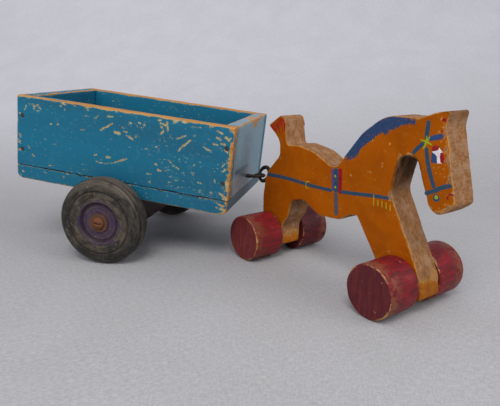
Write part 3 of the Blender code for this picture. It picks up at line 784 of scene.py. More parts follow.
class Finish(Enum):
    """The toy's finishes."""

    BLUE = WornPaint((16, 111, 142), (26, 96, 124), (62, 132, 146), OCHRE_WOOD,
                     undercoat=(176, 164, 118), ragged=1.1, fleck=(156, 164, 128),
                     fleck_level=0.712, fleck_size=1.8)
    # The nose board's blue: paler and greyer, partly its worn paint and partly painted sheen. Its dark stain
    # colour is the painted shadow of the hook's shank.
    NOSE_BLUE = WornPaint((84, 137, 160), (106, 139, 156), (152, 166, 172), OCHRE_WOOD,
                          roughness=0.34, rubbing=0.7, fleck=(158, 162, 128), fleck_level=0.72,
                          shine=0.5, stain=(6, 50, 76), end_tone=(128, 104, 100))
    MAROON = WornPaint((70, 20, 30), (48, 14, 22), (92, 44, 46), OCHRE_WOOD, 0.4,
                       chip_level=0.75, fleck=(120, 70, 56), fleck_level=0.72)
    ORANGE = WornPaint((178, 90, 1), (157, 76, 1), (178, 112, 38), EDGE_WOOD, 0.55, 2.4,
                       0.735, fleck=(196, 142, 70), fleck_level=0.735, streak=(1.0, 1.0, 1.0),
                       roughness=0.46, stain=(34, 20, 13), undercoat=(204, 146, 72),
                       shine=0.06, film=0.03, thin_share=0.85, grain_field="grain",
                       rings=((0.0, 17.0, 19.3), (120.0, 17.0, 19.3)))
    RED = RollerPaint((138, 17, 27), (88, 23, 29), (138, 54, 50), (100, 32, 40),
                      (116, 44, 46), PALE_WOOD)
    REAR_RED = RollerPaint((152, 32, 36), (108, 34, 36), (140, 58, 56), (118, 40, 44),
                           (134, 58, 52), PALE_WOOD)
    # Painted shade: the red darkened for the rear far roller, which lies in the horse's shadow.
    SHADED_RED = RollerPaint((104, 28, 34), (72, 24, 30), (112, 50, 48), (90, 30, 38),
                             (112, 44, 44), PALE_WOOD)
    WHEEL = WheelPaint((66, 46, 78), (84, 68, 76), (44, 42, 40), (98, 88, 74),
                       (36, 35, 33), (62, 57, 50))
    DARK_WIRE = OldMetal((54, 48, 44), (62, 44, 34), (36, 28, 24), 0.55)
    RUST = OldMetal((96, 66, 46), (128, 72, 36), (80, 46, 30), 0.85)
    BRASSY = OldMetal((104, 76, 48), (112, 74, 44), (62, 44, 34), 0.7)
    NAIL = OldMetal((58, 58, 56), (82, 54, 44), (44, 36, 34), 0.7, 0.3)
    BLUE_STRAP = BrushPaint((36, 70, 98), (52, 76, 92), UNDER)
    MANE_BLUE = BrushPaint((40, 63, 106), (46, 71, 106), UNDER, 0.64)
    CROWN_BLUE = BrushPaint((46, 68, 118), (50, 78, 118), UNDER)
    GREY_STRAP = BrushPaint((92, 82, 80), (72, 78, 92), UNDER, 0.6)
    PURPLE = BrushPaint((92, 62, 126), (78, 68, 128), UNDER)
    CRIMSON = BrushPaint((160, 18, 36), (132, 16, 30), UNDER)
    YELLOW = BrushPaint((182, 152, 16), (160, 132, 18), UNDER, 0.66)
    LIME = BrushPaint((160, 176, 22), (138, 156, 24), UNDER, 0.70)
    WHITE = BrushPaint((234, 228, 230), (216, 208, 212), UNDER, 0.76)
    TAIL_RED = BrushPaint((182, 22, 12), (118, 18, 10), UNDER, 0.64)


# The cart


NONE_NEAR = 9.0
"""Distance, in millimetres, that stands for no mark or edge near by."""


@dataclass
class Board:
    """One board of the cart's box: which node it stands for and how its edges have worn.

    The field smears gives, at each place of the nose face, how dark a painted shadow of the hook's
    shank makes it and how clouded it is, and sound is how far the paint between the scratches is
    from chipping.
    """

    node: str
    finish: Finish
    wear: Callable[[Array], Array]
    marks: Sequence[tuple[float, float, float, float, float]] = ()
    step: float = 1.6
    radii: tuple[Triple, Triple] = ((0.9,) * 3, (0.9,) * 3)
    sheltered: Sequence[tuple[int, int]] = ()
    end_rounds: Pair = (0.0, 0.0)
    smears: Callable[[Array], tuple[Array, Array]] | None = None
    sound: float = 0.9
    nose_corner: Pair = (84.0, 30.0)
    corner_reach: float = 9.0
    nail_dimple: float = 0.75
    nail_rust: float = 0.45
    scratch_depth: float = 0.22
    chip_depth: float = 0.06

    def eased_ends(self, points: Array, low: Array, high: Array) -> Array:
        """Round the lower edges of the tail and nose ends.

        Within the radius R of an edge, with u and v the places along x and z from 0 to 1 at the edge,
        u goes to u sqrt(1 - v^2 / 2) and v to v sqrt(1 - u^2 / 2), which bends the square into a disc.
        """
        points = points.copy()
        for radius, edge, inward in zip(self.end_rounds, (low[0], high[0]), (1.0, -1.0)):
            if radius > 0.0:
                u = np.clip(1.0 - (points[:, 0] - edge) * inward / radius, 0.0, 1.0)
                v = np.clip(1.0 - (points[:, 2] - low[2]) / radius, 0.0, 1.0)
                points[:, 0] += inward * radius * u * (1.0 - np.sqrt(1.0 - v * v / 2.0))
                points[:, 2] += radius * v * (1.0 - np.sqrt(1.0 - u * u / 2.0))
        return points

    def mark_field(self, points: Array, outer: Array) -> Array:
        """Distance from the edge of the nearest scratch on the outer face, past its own width.

        Small chips crowd towards the rim and the two ends, where the noise outruns the distance d,
        and round the lower nose corner c: sound + 0.16 d - 0.35 c - 1.9 noise.
        """
        nearest = np.full(len(points), NONE_NEAR)
        if self.marks:
            x, _, z = points.T
            inset = np.minimum(np.minimum(x - x.min(), x.max() - x), z.max() - z)
            specks = layered_noise(points * np.array([0.7, 1.0, 1.3]), 2.6, 57)
            off_x, off_z = ((value - middle) / self.corner_reach
                            for value, middle in zip((x, z), self.nose_corner))
            corner = np.exp(-(off_x**2) - off_z**2)
            nearest = np.where(outer, self.sound + 0.16 * inset - 0.35 * corner - 1.9 * specks, nearest)
        flat = points[outer][:, [0, 2]]
        for x0, z0, x1, z1, width in self.marks:
            past = segment_distance(flat, (x0, z0), (x1, z1)) - width / 2.0
            nearest[outer] = np.minimum(nearest[outer], past)
        return nearest

    def build(self, place: Placement, nails: Sequence[tuple[Array, Array]], material: Material) -> None:
        """Make the board in its node's place.

        Edges and scratches are pressed in a little, and each nail head lies in a dimple.

        Args:
            place: the cart's placement.
            nails: middle and outward direction of each nail head, in own axes.
            material: the board's finish.
        """
        low, high = place.node_box(self.node)
        shape, normal = rounded_block(low, high, np.array(self.radii), self.step, self.sheltered)
        points = self.eased_ends(shape.points, low, high)
        edge = shape.fields.pop("edge")
        cover = edge - self.wear(points)
        mark = self.mark_field(points, normal[:, 1] < -0.7)
        stain = np.zeros(len(points))
        rub = 0.5 + 0.5 * layered_noise(points, 9.0, 3)
        press = 0.04 + 0.10 * rub + 0.28 * np.exp(-edge / 0.8) * rub
        press += (self.chip_depth * smooth_step(0.2, -0.4, cover)
                  + self.scratch_depth * smooth_step(0.25, -0.45, mark))
        for head, outward in nails:
            off = points - head
            depth = off @ outward
            ring = np.linalg.norm(off - depth[:, None] * outward, axis=1)
            facing = (normal @ outward > 0.9) & (np.abs(depth) < 2.0)
            dimple = self.nail_dimple * smooth_step(1.8, 1.35, ring)
            press = np.where(facing, np.maximum(press, dimple), press)
            rust = self.nail_rust * smooth_step(1.9, 1.2, ring + 0.5 * layered_noise(points, 1.6, 5))
            stain = np.where(facing, np.maximum(stain, rust), stain)
        shape.points = points - normal * press[:, None]
        shape.fields.update(cover=cover, mark=mark, stain=stain)
        # The faces turned to the nose take a greyer, darker tone: painted sheen and shade.
        if self.node in ("bed_board", "near_side_board"):
            shape.fields["end_tone"] = 0.85 * smooth_step(0.6, 0.95, normal[:, 0])
        if self.smears:
            # On the nose face: a painted shadow of the hook's shank, and the rubbed cloud.
            hook_shadow, cloud = self.smears(points)
            shape.fields["stain"] = np.where(normal[:, 0] > 0.5, hook_shadow, 0.0)
            shape.fields["end_tone"] = np.where(normal[:, 0] > 0.5, np.clip(cloud, 0.0, 1.0), 0.0)
        slot = "beam_paint" if self.finish is Finish.MAROON else "blue_paint"
        shape.piece("painted_" + self.node, place, "cart", material, [self.node], slot)


def even_wear(points: Array) -> Array:
    """Worn width of any edge: about 0.3 mm, rising and falling along it."""
    return 0.3 + 0.55 * layered_noise(points, 9.0, 21)


NEAR_MARKS = (
    (-11.8, 63.3, -6.0, 67.2, 1.1), (-6.0, 67.2, -3.3, 69.1, 0.6), (-0.6, 63.4, 2.8, 62.8, 2.0),
    (8.6, 62.4, 10.6, 61.6, 0.8), (10.6, 61.6, 13.2, 60.3, 1.5), (6.0, 64.9, 8.6, 64.6, 0.7),
    (34.4, 67.3, 36.0, 69.6, 1.1), (46.5, 65.8, 53.0, 69.0, 0.6), (48.4, 57.6, 51.4, 61.4, 0.6),
    (51.4, 61.4, 56.6, 66.1, 1.1), (67.1, 62.9, 72.2, 60.6, 0.9), (41.6, 49.2, 43.4, 48.2, 0.8),
    (45.0, 46.6, 46.0, 46.0, 0.5), (47.6, 45.2, 49.6, 44.4, 0.8), (-6.4, 44.0, -3.8, 44.2, 1.3),
    (-14.8, 39.4, -8.7, 38.8, 0.4), (-8.7, 38.8, -0.8, 40.5, 0.35), (-0.8, 40.5, 5.0, 43.4, 0.5),
    (5.0, 43.4, 9.6, 45.2, 0.9), (-16.5, 43.6, -14.6, 44.6, 0.4), (32.0, 45.0, 33.2, 44.5, 0.9),
    (34.0, 41.2, 36.2, 40.8, 1.1), (26.0, 37.0, 28.6, 37.2, 0.6), (65.2, 37.1, 67.4, 36.8, 0.9),
    (50.0, 31.0, 51.4, 31.1, 0.5), (52.8, 31.3, 53.9, 31.2, 0.5), (33.6, 74.8, 38.0, 74.0, 1.0),
    (38.4, 76.4, 39.6, 70.8, 1.1), (34.2, 72.2, 35.4, 72.0, 1.2), (17.4, 72.8, 18.6, 72.5, 0.8),
    (20.8, 72.2, 22.0, 71.9, 0.8), (4.4, 68.0, 6.4, 67.2, 0.5), (-24.4, 71.8, -22.0, 71.2, 0.6),
    (-17.6, 71.2, -15.4, 71.8, 0.7), (-7.0, 73.9, -3.0, 74.3, 0.9), (9.4, 72.0, 11.6, 71.8, 0.9),
    (-68.3, 74.2, -64.6, 72.8, 0.6), (-66.0, 70.2, -61.4, 69.7, 0.7), (-63.0, 72.6, -61.0, 71.8, 0.6),
    (-66.6, 72.8, -66.2, 70.6, 0.6), (-72.6, 72.6, -74.2, 69.4, 0.7), (-78.9, 50.6, -77.2, 49.2, 0.8),
    (-67.2, 36.0, -66.4, 34.8, 1.0), (-64.2, 45.0, -63.8, 43.0, 0.35), (-53.2, 61.3, -51.8, 61.9, 0.5),
    (-47.2, 62.0, -46.2, 62.3, 0.5), (75.4, 70.9, 78.4, 70.0, 1.2), (73.6, 66.3, 76.6, 66.0, 1.0),
    (79.4, 67.4, 81.8, 67.1, 1.1), (76.0, 75.4, 79.4, 74.5, 1.2), (81.8, 72.0, 84.6, 70.6, 1.6),
    (82.4, 63.6, 84.4, 61.8, 1.0), (81.6, 51.4, 83.0, 53.8, 0.9), (83.0, 53.8, 85.8, 55.0, 0.7),
    (82.6, 48.2, 84.0, 49.6, 1.3), (81.6, 31.7, 83.6, 31.0, 1.2), (84.4, 30.2, 87.0, 28.8, 1.8),
    (74.6, 31.5, 76.0, 31.1, 0.8), (60.4, 48.8, 61.6, 49.3, 0.4), (23.6, 54.7, 24.8, 55.2, 0.5),
    (31.0, 57.7, 32.2, 58.1, 0.7), (76.6, 41.0, 77.6, 39.2, 0.6), (58.6, 69.4, 60.0, 70.4, 0.4),
)
"""Scratches on the near side board: both ends (x, z) and the width."""
BED_MARKS = ((81.8, 23.8, 85.6, 23.0, 1.3), (83.2, 20.6, 86.2, 20.0, 1.5), (79.8, 24.8, 81.2, 24.6, 0.8),
             (80.0, 21.4, 81.0, 21.2, 0.7), (-76.0, 22.0, -74.8, 21.8, 0.8))
"""Scratches on the bed's near edge, the same way."""
NOSE_CHIPS = ((-39.0, 1.2, 44.4, 3.0), (-49.0, 1.0, 53.0, 3.6))
"""Knocks low on the nose board's face: y and its reach, z and its reach."""


@dataclass
class CartBox:
    """The nailed box with its cross beam and its nails."""

    place: Placement
    nails: list[str] = field(default_factory=list)

    def rim_wear(self, points: Array, seed: int, below: float, across: float) -> Array:
        """Worn width near the box's rim: ragged below its edge, and wide over its top face.

        Args:
            points: places in own axes.
            seed: picks the board's own raggedness.
            below: worn width on the upright faces.
            across: worn width on the top face.

        Returns:
            The worn width at each place.
        """
        _, high = self.place.node_box("near_side_board")
        from_rim = high[2] - points[:, 2]
        sides = np.exp(-from_rim / 4.0) * (below + 1.3 * below * layered_noise(points, 6.0, seed))
        top = smooth_step(0.7, 0.1, from_rim)
        over = across + 1.2 * layered_noise(points, 8.0, seed + 50)
        return even_wear(points) + sides * (1.0 - top) + top * over

    def near_wear(self, points: Array) -> Array:
        """Worn width on the near side board: most at its rim and down its nose end."""
        low, high = self.place.node_box("near_side_board")
        from_nose = high[0] - points[:, 0]
        from_rim = high[2] - points[:, 2]
        top = smooth_step(0.7, 0.1, from_rim)
        wear = self.rim_wear(points, 31, 0.7, 6.0)
        wear += (1.0 - top) * np.exp(-from_nose / 3.2) * (2.2 + 3.6 * layered_noise(points, 3.2, 41))
        corner = np.exp(-((from_nose / 8.0) ** 2) - (from_rim / 8.0) ** 2)
        wear += (1.0 - top) * corner * (0.8 + 4.2 * layered_noise(points, 2.6, 43))
        tail = smooth_step(low[0] + 60.0, low[0] + 20.0, points[:, 0])
        tail *= smooth_step(4.0, 5.5, points[:, 1] - low[1])
        return wear - tail * top * 5.0

    def nose_wear(self, points: Array) -> Array:
        """Worn width on the nose board: a rubbed patch under its rim."""
        _, high = self.place.node_box("nose_board")
        x, y, z = points.T
        patch = bump_at(y, 14.0, 10.0) * smooth_step(high[2] - 17.0, high[2], z)
        chip = sum(bump_at(y, *across) * bump_at(z, *up)
                   for across, up in ((row[:2], row[2:]) for row in NOSE_CHIPS))
        wear = self.rim_wear(points, 33, 0.7, 1.6) + patch * (9.0 + 30.0 * layered_noise(points, 5.0, 47))
        return wear + 48.0 * chip * (x > 87.0)

    def smears(self, points: Array) -> tuple[Array, Array]:
        """Painted shadow of the hook's shank beside its root, and rubbed brownish cloud below it, on the nose
        face.
        """
        _, y, z = points.T
        across = smooth_step(-46.0, -36.0, y) * smooth_step(3.0, -3.0, y)
        hook_shadow = across * bump_at(z + 0.03 * y, 43.5, 1.9)
        cloud = smooth_step(24.0, -10.0, y) * bump_at(z, 33.0, 9.0)
        return 1.1 * hook_shadow, cloud * (0.5 + 0.9 * layered_noise(points, 7.0, 49))

    def bed_wear(self, points: Array) -> Array:
        """Worn width on the bed: most at its near nose corner and along its lower edges."""
        low, high = self.place.node_box("bed_board")
        from_nose = high[0] - points[:, 0]
        wear = even_wear(points) + 0.2
        corner = np.exp(-from_nose / 6.0) * smooth_step(low[1] + 9.0, low[1], points[:, 1])
        return wear + corner * (2.4 + 4.6 * layered_noise(points, 2.8, 51))

    def boards(self) -> list[Board]:
        """The boards with their wear. Edges that meet another board are sheltered."""
        near = Board("near_side_board", Finish.BLUE, self.near_wear, NEAR_MARKS, 0.62,
                     ((1.0, 1.0, 0.25), (1.2, 0.9, 1.0)), ((2, 0),))
        far = Board("far_side_board", Finish.BLUE, lambda p: self.rim_wear(p, 35, 0.5, 6.0),
                    radii=((1.0, 0.9, 0.25), (1.2, 1.0, 1.0)), sheltered=((2, 0),))
        tail = Board("tail_board", Finish.BLUE, lambda p: self.rim_wear(p, 37, 0.5, 1.3),
                     radii=((1.0, 0.3, 0.25), (0.9, 0.3, 1.0)), sheltered=((2, 0), (1, 0), (1, 1)))
        nose = Board("nose_board", Finish.NOSE_BLUE, self.nose_wear, step=1.1,
                     radii=((0.9, 0.3, 0.12), (1.1, 0.3, 1.1)), sheltered=((2, 0), (1, 0), (1, 1)),
                     smears=self.smears)
        bed = Board("bed_board", Finish.BLUE, self.bed_wear, BED_MARKS, step=0.8,
                    radii=((1.0, 1.0, 1.0), (1.0, 1.0, 0.25)), sheltered=((2, 1),),
                    end_rounds=(6.0, 3.8), sound=1.3)
        beam = Board("axle_beam", Finish.MAROON, even_wear, step=2.0, sheltered=((2, 1),))
        return [near, far, tail, nose, bed, beam]

    def nail_heads(self) -> list[tuple[Array, Array]]:
        """Middle of each nail head's face and its outward direction, from the CAD nails."""
        heads = []
        for name in self.nails:
            low, high = self.place.node_box(name)
            middle = (low + high) / 2.0
            axis = int(np.argmax(high - low))
            upper = name.startswith(("far", "beam_nail"))
            outward = np.zeros(3)
            outward[axis] = 1.0 if upper else -1.0
            middle[axis] = high[axis] if upper else low[axis]
            heads.append((middle, outward))
        return heads

    def build(self) -> None:
        """Make the boards and dress the nails."""
        self.nails = sorted(n for n in frame["nodes"] if "_nail_" in n)
        heads = self.nail_heads()
        paints = {look: look.value.material(look.name.lower() + "_paint", self.place)
                  for look in (Finish.BLUE, Finish.NOSE_BLUE, Finish.MAROON)}
        for board in self.boards():
            board.build(self.place, heads, paints[board.finish])
        nail = Finish.NAIL.value.material("nail_rust", self.place)
        for name in self.nails:
            dress(name, nail)


def dress(node: str, material: Material) -> None:
    """Give a CAD node that stays in view another finish."""
    data = frame["nodes"][node].data
    data.materials.clear()
    data.materials.append(material)


@dataclass(frozen=True)
class WireRub:
    """Where hook and eye rub: thin within one distance of the link, thicker past the other."""

    link: Vector
    thin_within: float = 4.2
    full_beyond: float = 7.0
    thicker: float = 0.35

    def thicken(self, work: bmesh.types.BMesh) -> None:
        """Push each vertex out along its normal, further off the link the more."""
        work.normal_update()
        for vertex, outward in [(v, v.normal.copy()) for v in work.verts]:
            away = np.array([(vertex.co - self.link).length / MM])
            share = smooth_step(self.thin_within, self.full_beyond, away)[0]
            vertex.co += outward * self.thicker * MM * float(share)


def smoothed(node: str, body: str, material: Material, sharp: float = 35.0,
             rub: WireRub | None = None) -> None:
    """Stand a welded, smooth-shaded copy of a CAD node in its place.

    Args:
        node: the CAD node.
        body: the body that carries it.
        material: its finish.
        sharp: angle in degrees past which an edge stays sharp.
        rub: how a wire thickens away from the link.
    """
    work = bmesh.new()
    work.from_mesh(frame["nodes"][node].data)
    bmesh.ops.remove_doubles(work, verts=work.verts, dist=1e-6)
    if rub is not None:
        rub.thicken(work)
    mesh = bpy.data.meshes.new("smooth_" + node)
    work.to_mesh(mesh)
    work.free()
    mesh.shade_smooth()
    mesh.set_sharp_from_angle(angle=math.radians(sharp))
    mesh.materials.clear()
    mesh.materials.append(material)
    register(add_object("smooth_" + node, mesh), body, [node])


@dataclass
class CartWheel:
    """One turned wheel: sunk hub, raised ring, rounded shoulders and grooves, in millimetres."""

    side: Side
    place: Placement
    radius: float = 31.75
    bore: float = 2.5
    hub_radius: float = 14.2
    hub_depth: float = 2.2
    ring_inner: float = 15.8
    ring_outer: float = 23.2
    shoulder: float = 5.5
    groove_depth: float = 0.45
    groove_width: float = 0.55
    tread_grooves: tuple[Pair, ...] = ((14.6, 0.5), (3.6, 0.45))
    facets: int = 144

    def profile(self, thickness: float) -> tuple[Array, Array]:
        """Section as (radius, distance from the inner face), and how deep in a groove each point is.

        The section runs round from the bore at the back to the bore again, so it is closed. A groove
        presses in by depth times a bell curve of its width.

        Args:
            thickness: of the wheel.

        Returns:
            The section's points, and 0 to 1 at each.
        """
        centre = self.radius - self.shoulder
        angles = np.radians(np.arange(-90.0, 1.0, 6.0))
        bend = centre + self.shoulder * np.cos(angles)
        level = self.shoulder * (1.0 + np.sin(angles))
        tread = spaced(self.shoulder, thickness - self.shoulder, 0.6)[:14][1:-1]
        face = spaced(self.ring_inner, centre, 0.35)[::-1][1:]
        slope = np.array([[self.hub_radius + 0.9, thickness - 0.5], [self.hub_radius + 0.3, thickness - 1.3],
                          [self.hub_radius, thickness - self.hub_depth]])
        hub = spaced(self.bore, self.hub_radius - 0.4, 0.7)[::-1]
        back = spaced(self.bore, centre - 0.4, 2.0)
        line = np.vstack([np.c_[back, 0.0 * back], np.c_[bend, level],
                          np.c_[np.full(len(tread), self.radius), tread],
                          np.c_[bend[::-1], thickness - level[::-1]],
                          np.c_[face, np.full(len(face), thickness)], slope,
                          np.c_[hub, np.full(len(hub), thickness - self.hub_depth)], [[self.bore, 0.0]]])
        radii, levels = line.T
        on_face = levels > thickness - self.shoulder * 0.6
        groove = bump_at(radii, self.ring_outer, self.groove_width) * on_face
        ring = bump_at(radii, self.ring_inner + 0.9, 0.5) * on_face * (levels > thickness - 0.2)
        tread_groove = sum(bump_at(levels, *cut) for cut in self.tread_grooves)
        tread_groove *= radii > self.radius - 2.2
        pressed = np.c_[radii - tread_groove * self.groove_depth,
                        levels - (groove * self.groove_depth + 0.12 * ring)]
        return pressed, np.clip(groove + tread_groove, 0.0, 1.0)

    def build(self, material: Material) -> None:
        """Make the wheel in its node's place, worn a little out of true."""
        node = self.side.of("wheel")
        low, high = self.place.node_box(node)
        line, groove = self.profile(high[1] - low[1])
        near = self.side is Side.NEAR
        seed = 61 if near else 67

        def wobble(angle: Array, row: Array) -> Array:
            """Inward press: slow wear round the rim and small knocks."""
            spot = np.c_[np.sin(angle) * self.radius, np.cos(angle) * self.radius, line[row, 1]]
            slow = 0.06 * (1.0 + lattice_noise(spot, 22.0, seed))
            knocks = 0.22 * np.clip(layered_noise(spot, 3.0, seed + 5) - 0.25, 0.0, 1.0)
            return (line[row, 0] > self.hub_radius) * (slow + knocks)

        shape = turned(line, self.facets, wobble)
        run = shape.fields["run"]
        shape.fields["groove"] = np.interp(run, lengths_along(line), groove)
        across = shape.fields["turn"][:, [0, 2]]
        spoke = 9.0 * (across / np.hypot(*across.T)[:, None])
        shape.fields["arc"] = np.c_[spoke[:, 0], run, spoke[:, 1]]
        shape.set_on(self.side, (0.0, high[1] if near else low[1], 0.0))
        shape.piece("turned_" + node, self.place, node, material, [node], "wheel_paint")


# The horse


HIND_UP = (
    (-9.0, -7.5, 2.5), (-9.7, 27.3, 40.0), (-6.5, 46.0, 22.0), (8.8, 61.7, 8.0), (8.7, 72.3, 9.0),
    (-4.4, 82.6, 1.0), (8.7, 91.2, 5.0), (13.3, 89.6, 1.5), (16.9, 70.2, 3.0), (27.6, 71.7, 24.0),
    (45.7, 69.1, 40.0),
)
FORE = (
    (-56.0, 59.7, 9.0), (-33.8, 86.8, 28.0), (-17.2, 98.9, 24.0), (5.2, 98.9, 6.0), (15.8, 103.0, 8.0),
    (24.3, 104.4, 1.5), (22.6, 96.0, 12.0), (32.9, 53.4, 4.0), (23.0, 46.4, 6.0), (16.6, 49.6, 5.0),
    (5.8, 76.8, 4.4), (-4.7, 75.8, 5.0), (-9.8, 54.0, 10.0), (16.0, 5.3, 16.0), (17.5, -7.5, 2.5),
    (-6.1, -7.5, 2.5), (-34.7, 33.6, 1.6), (-40.7, 32.3, 4.0), (-49.7, 26.9, 8.0),
)
HIND_DOWN = (
    (52.2, 25.5, 14.0), (35.5, 32.9, 7.0), (23.5, 29.5, 6.0), (19.5, 17.3, 9.0), (13.4, 8.7, 8.0),
    (12.9, -7.5, 2.5),
)
"""Corners of the horse's outline in three runs: x and height from an axle, and radius."""
FACE_CHIPS = (
    (10.3, 76.3, 0.45), (43.9, 74.3, 0.4), (36.2, 78.8, 0.3), (78.7, 75.8, 0.6), (102.8, 87.2, 0.45),
    (102.5, 84.9, 0.35), (107.0, 99.4, 0.6), (103.8, 94.6, 0.3), (92.4, 80.6, 0.5), (94.0, 80.2, 0.35),
    (21.9, 62.8, 0.3), (94.0, 100.0, 0.6), (140.4, 90.6, 0.25), (143.5, 90.4, 0.25), (143.0, 68.2, 0.4),
    (117.4, 92.8, 0.5), (120.5, 94.4, 0.6), (123.6, 94.2, 0.5), (113.6, 89.4, 0.5), (140.8, 112.6, 0.7),
    (142.2, 107.0, 0.7), (144.6, 104.0, 0.6), (141.6, 114.2, 0.6), (148.4, 88.6, 0.35), (149.4, 84.8, 0.45),
    (118.9, 51.9, 0.6), (121.5, 48.8, 0.4), (112.5, 33.8, 0.5), (31.0, 71.0, 0.25), (53.0, 58.0, 0.25),
    (86.0, 92.0, 0.3), (98.0, 76.0, 0.3), (71.0, 52.0, 0.3), (110.0, 56.0, 0.35),
    (139.4, 116.8, 0.7), (138.6, 109.8, 0.45), (140.2, 104.6, 0.35), (142.8, 99.2, 0.5), (143.2, 94.6, 0.35),
    (144.6, 86.2, 0.3), (146.2, 80.4, 0.35), (147.0, 76.6, 0.3), (146.4, 71.2, 0.4), (139.0, 67.2, 0.4),
    (141.6, 65.6, 0.6), (145.2, 67.6, 0.4), (137.0, 90.2, 0.2), (134.6, 88.4, 0.15), (139.2, 87.2, 0.2),
)
"""Chips in the paint of the horse's faces: middle (x, z) and radius."""
SCORCHES = (
    (121.0, 92.0, 13.0, 1.5), (113.0, 80.0, 12.0, 0.5), (30.0, 48.0, 7.5, 1.0), (142.5, 121.6, 4.0, 0.7),
    (137.0, 14.0, 14.0, 0.5), (50.0, 88.0, 24.0, 0.15), (126.0, 42.0, 11.0, 0.3),
)
"""Where the saw has darkened the rim: middle (x, z), reach and strength."""
RUBBED = ((147.0, 8.0, 71.0, 10.0, 2.0), (111.0, 5.0, 68.0, 16.0, 2.1), (119.0, 9.0, 97.0, 8.0, 2.2))
"""Worn muzzle, chest and throat: x and its reach, z and its reach, and width."""


def round_corners(corners: Array, radii: Array, step: float) -> Array:
    """Outline of a polygon whose corners are tangent arcs and whose runs are evenly sampled.

    With half the corner's angle h, the arc touches both sides at radius / tan h from the corner,
    and its centre lies on the bisector at radius / sin h.

    Args:
        corners: n by 2 corners.
        radii: of each arc.
        step: longest chord.

    Returns:
        Points round the outline.
    """
    arcs = []
    for k, (corner, radius) in enumerate(zip(corners, radii)):
        before = corners[k - 1] - corner
        after = corners[(k + 1) % len(corners)] - corner
        before, after = before / np.linalg.norm(before), after / np.linalg.norm(after)
        half = math.acos(float(np.clip(before @ after, -1.0, 1.0))) / 2.0
        bisector = (before + after) / np.linalg.norm(before + after)
        centre = corner + bisector * radius / math.sin(half)
        first = corner + before * radius / math.tan(half) - centre
        last = corner + after * radius / math.tan(half) - centre
        turn = math.atan2(first[0] * last[1] - first[1] * last[0], first @ last)
        count = max(3, int(math.ceil(abs(turn) * radius / step)) + 1)
        angles = np.linspace(0.0, turn, count)
        spun = np.stack([first[0] * np.cos(angles) - first[1] * np.sin(angles),
                         first[0] * np.sin(angles) + first[1] * np.cos(angles)], 1)
        arcs.append(centre + spun)
    points = []
    for k, arc in enumerate(arcs):
        following = arcs[(k + 1) % len(arcs)][0]
        count = max(1, int(math.ceil(np.linalg.norm(following - arc[-1]) / step)))
        between = np.linspace(arc[-1], following, count + 1)[1:-1]
        points += [arc, between]
    return np.vstack(points)


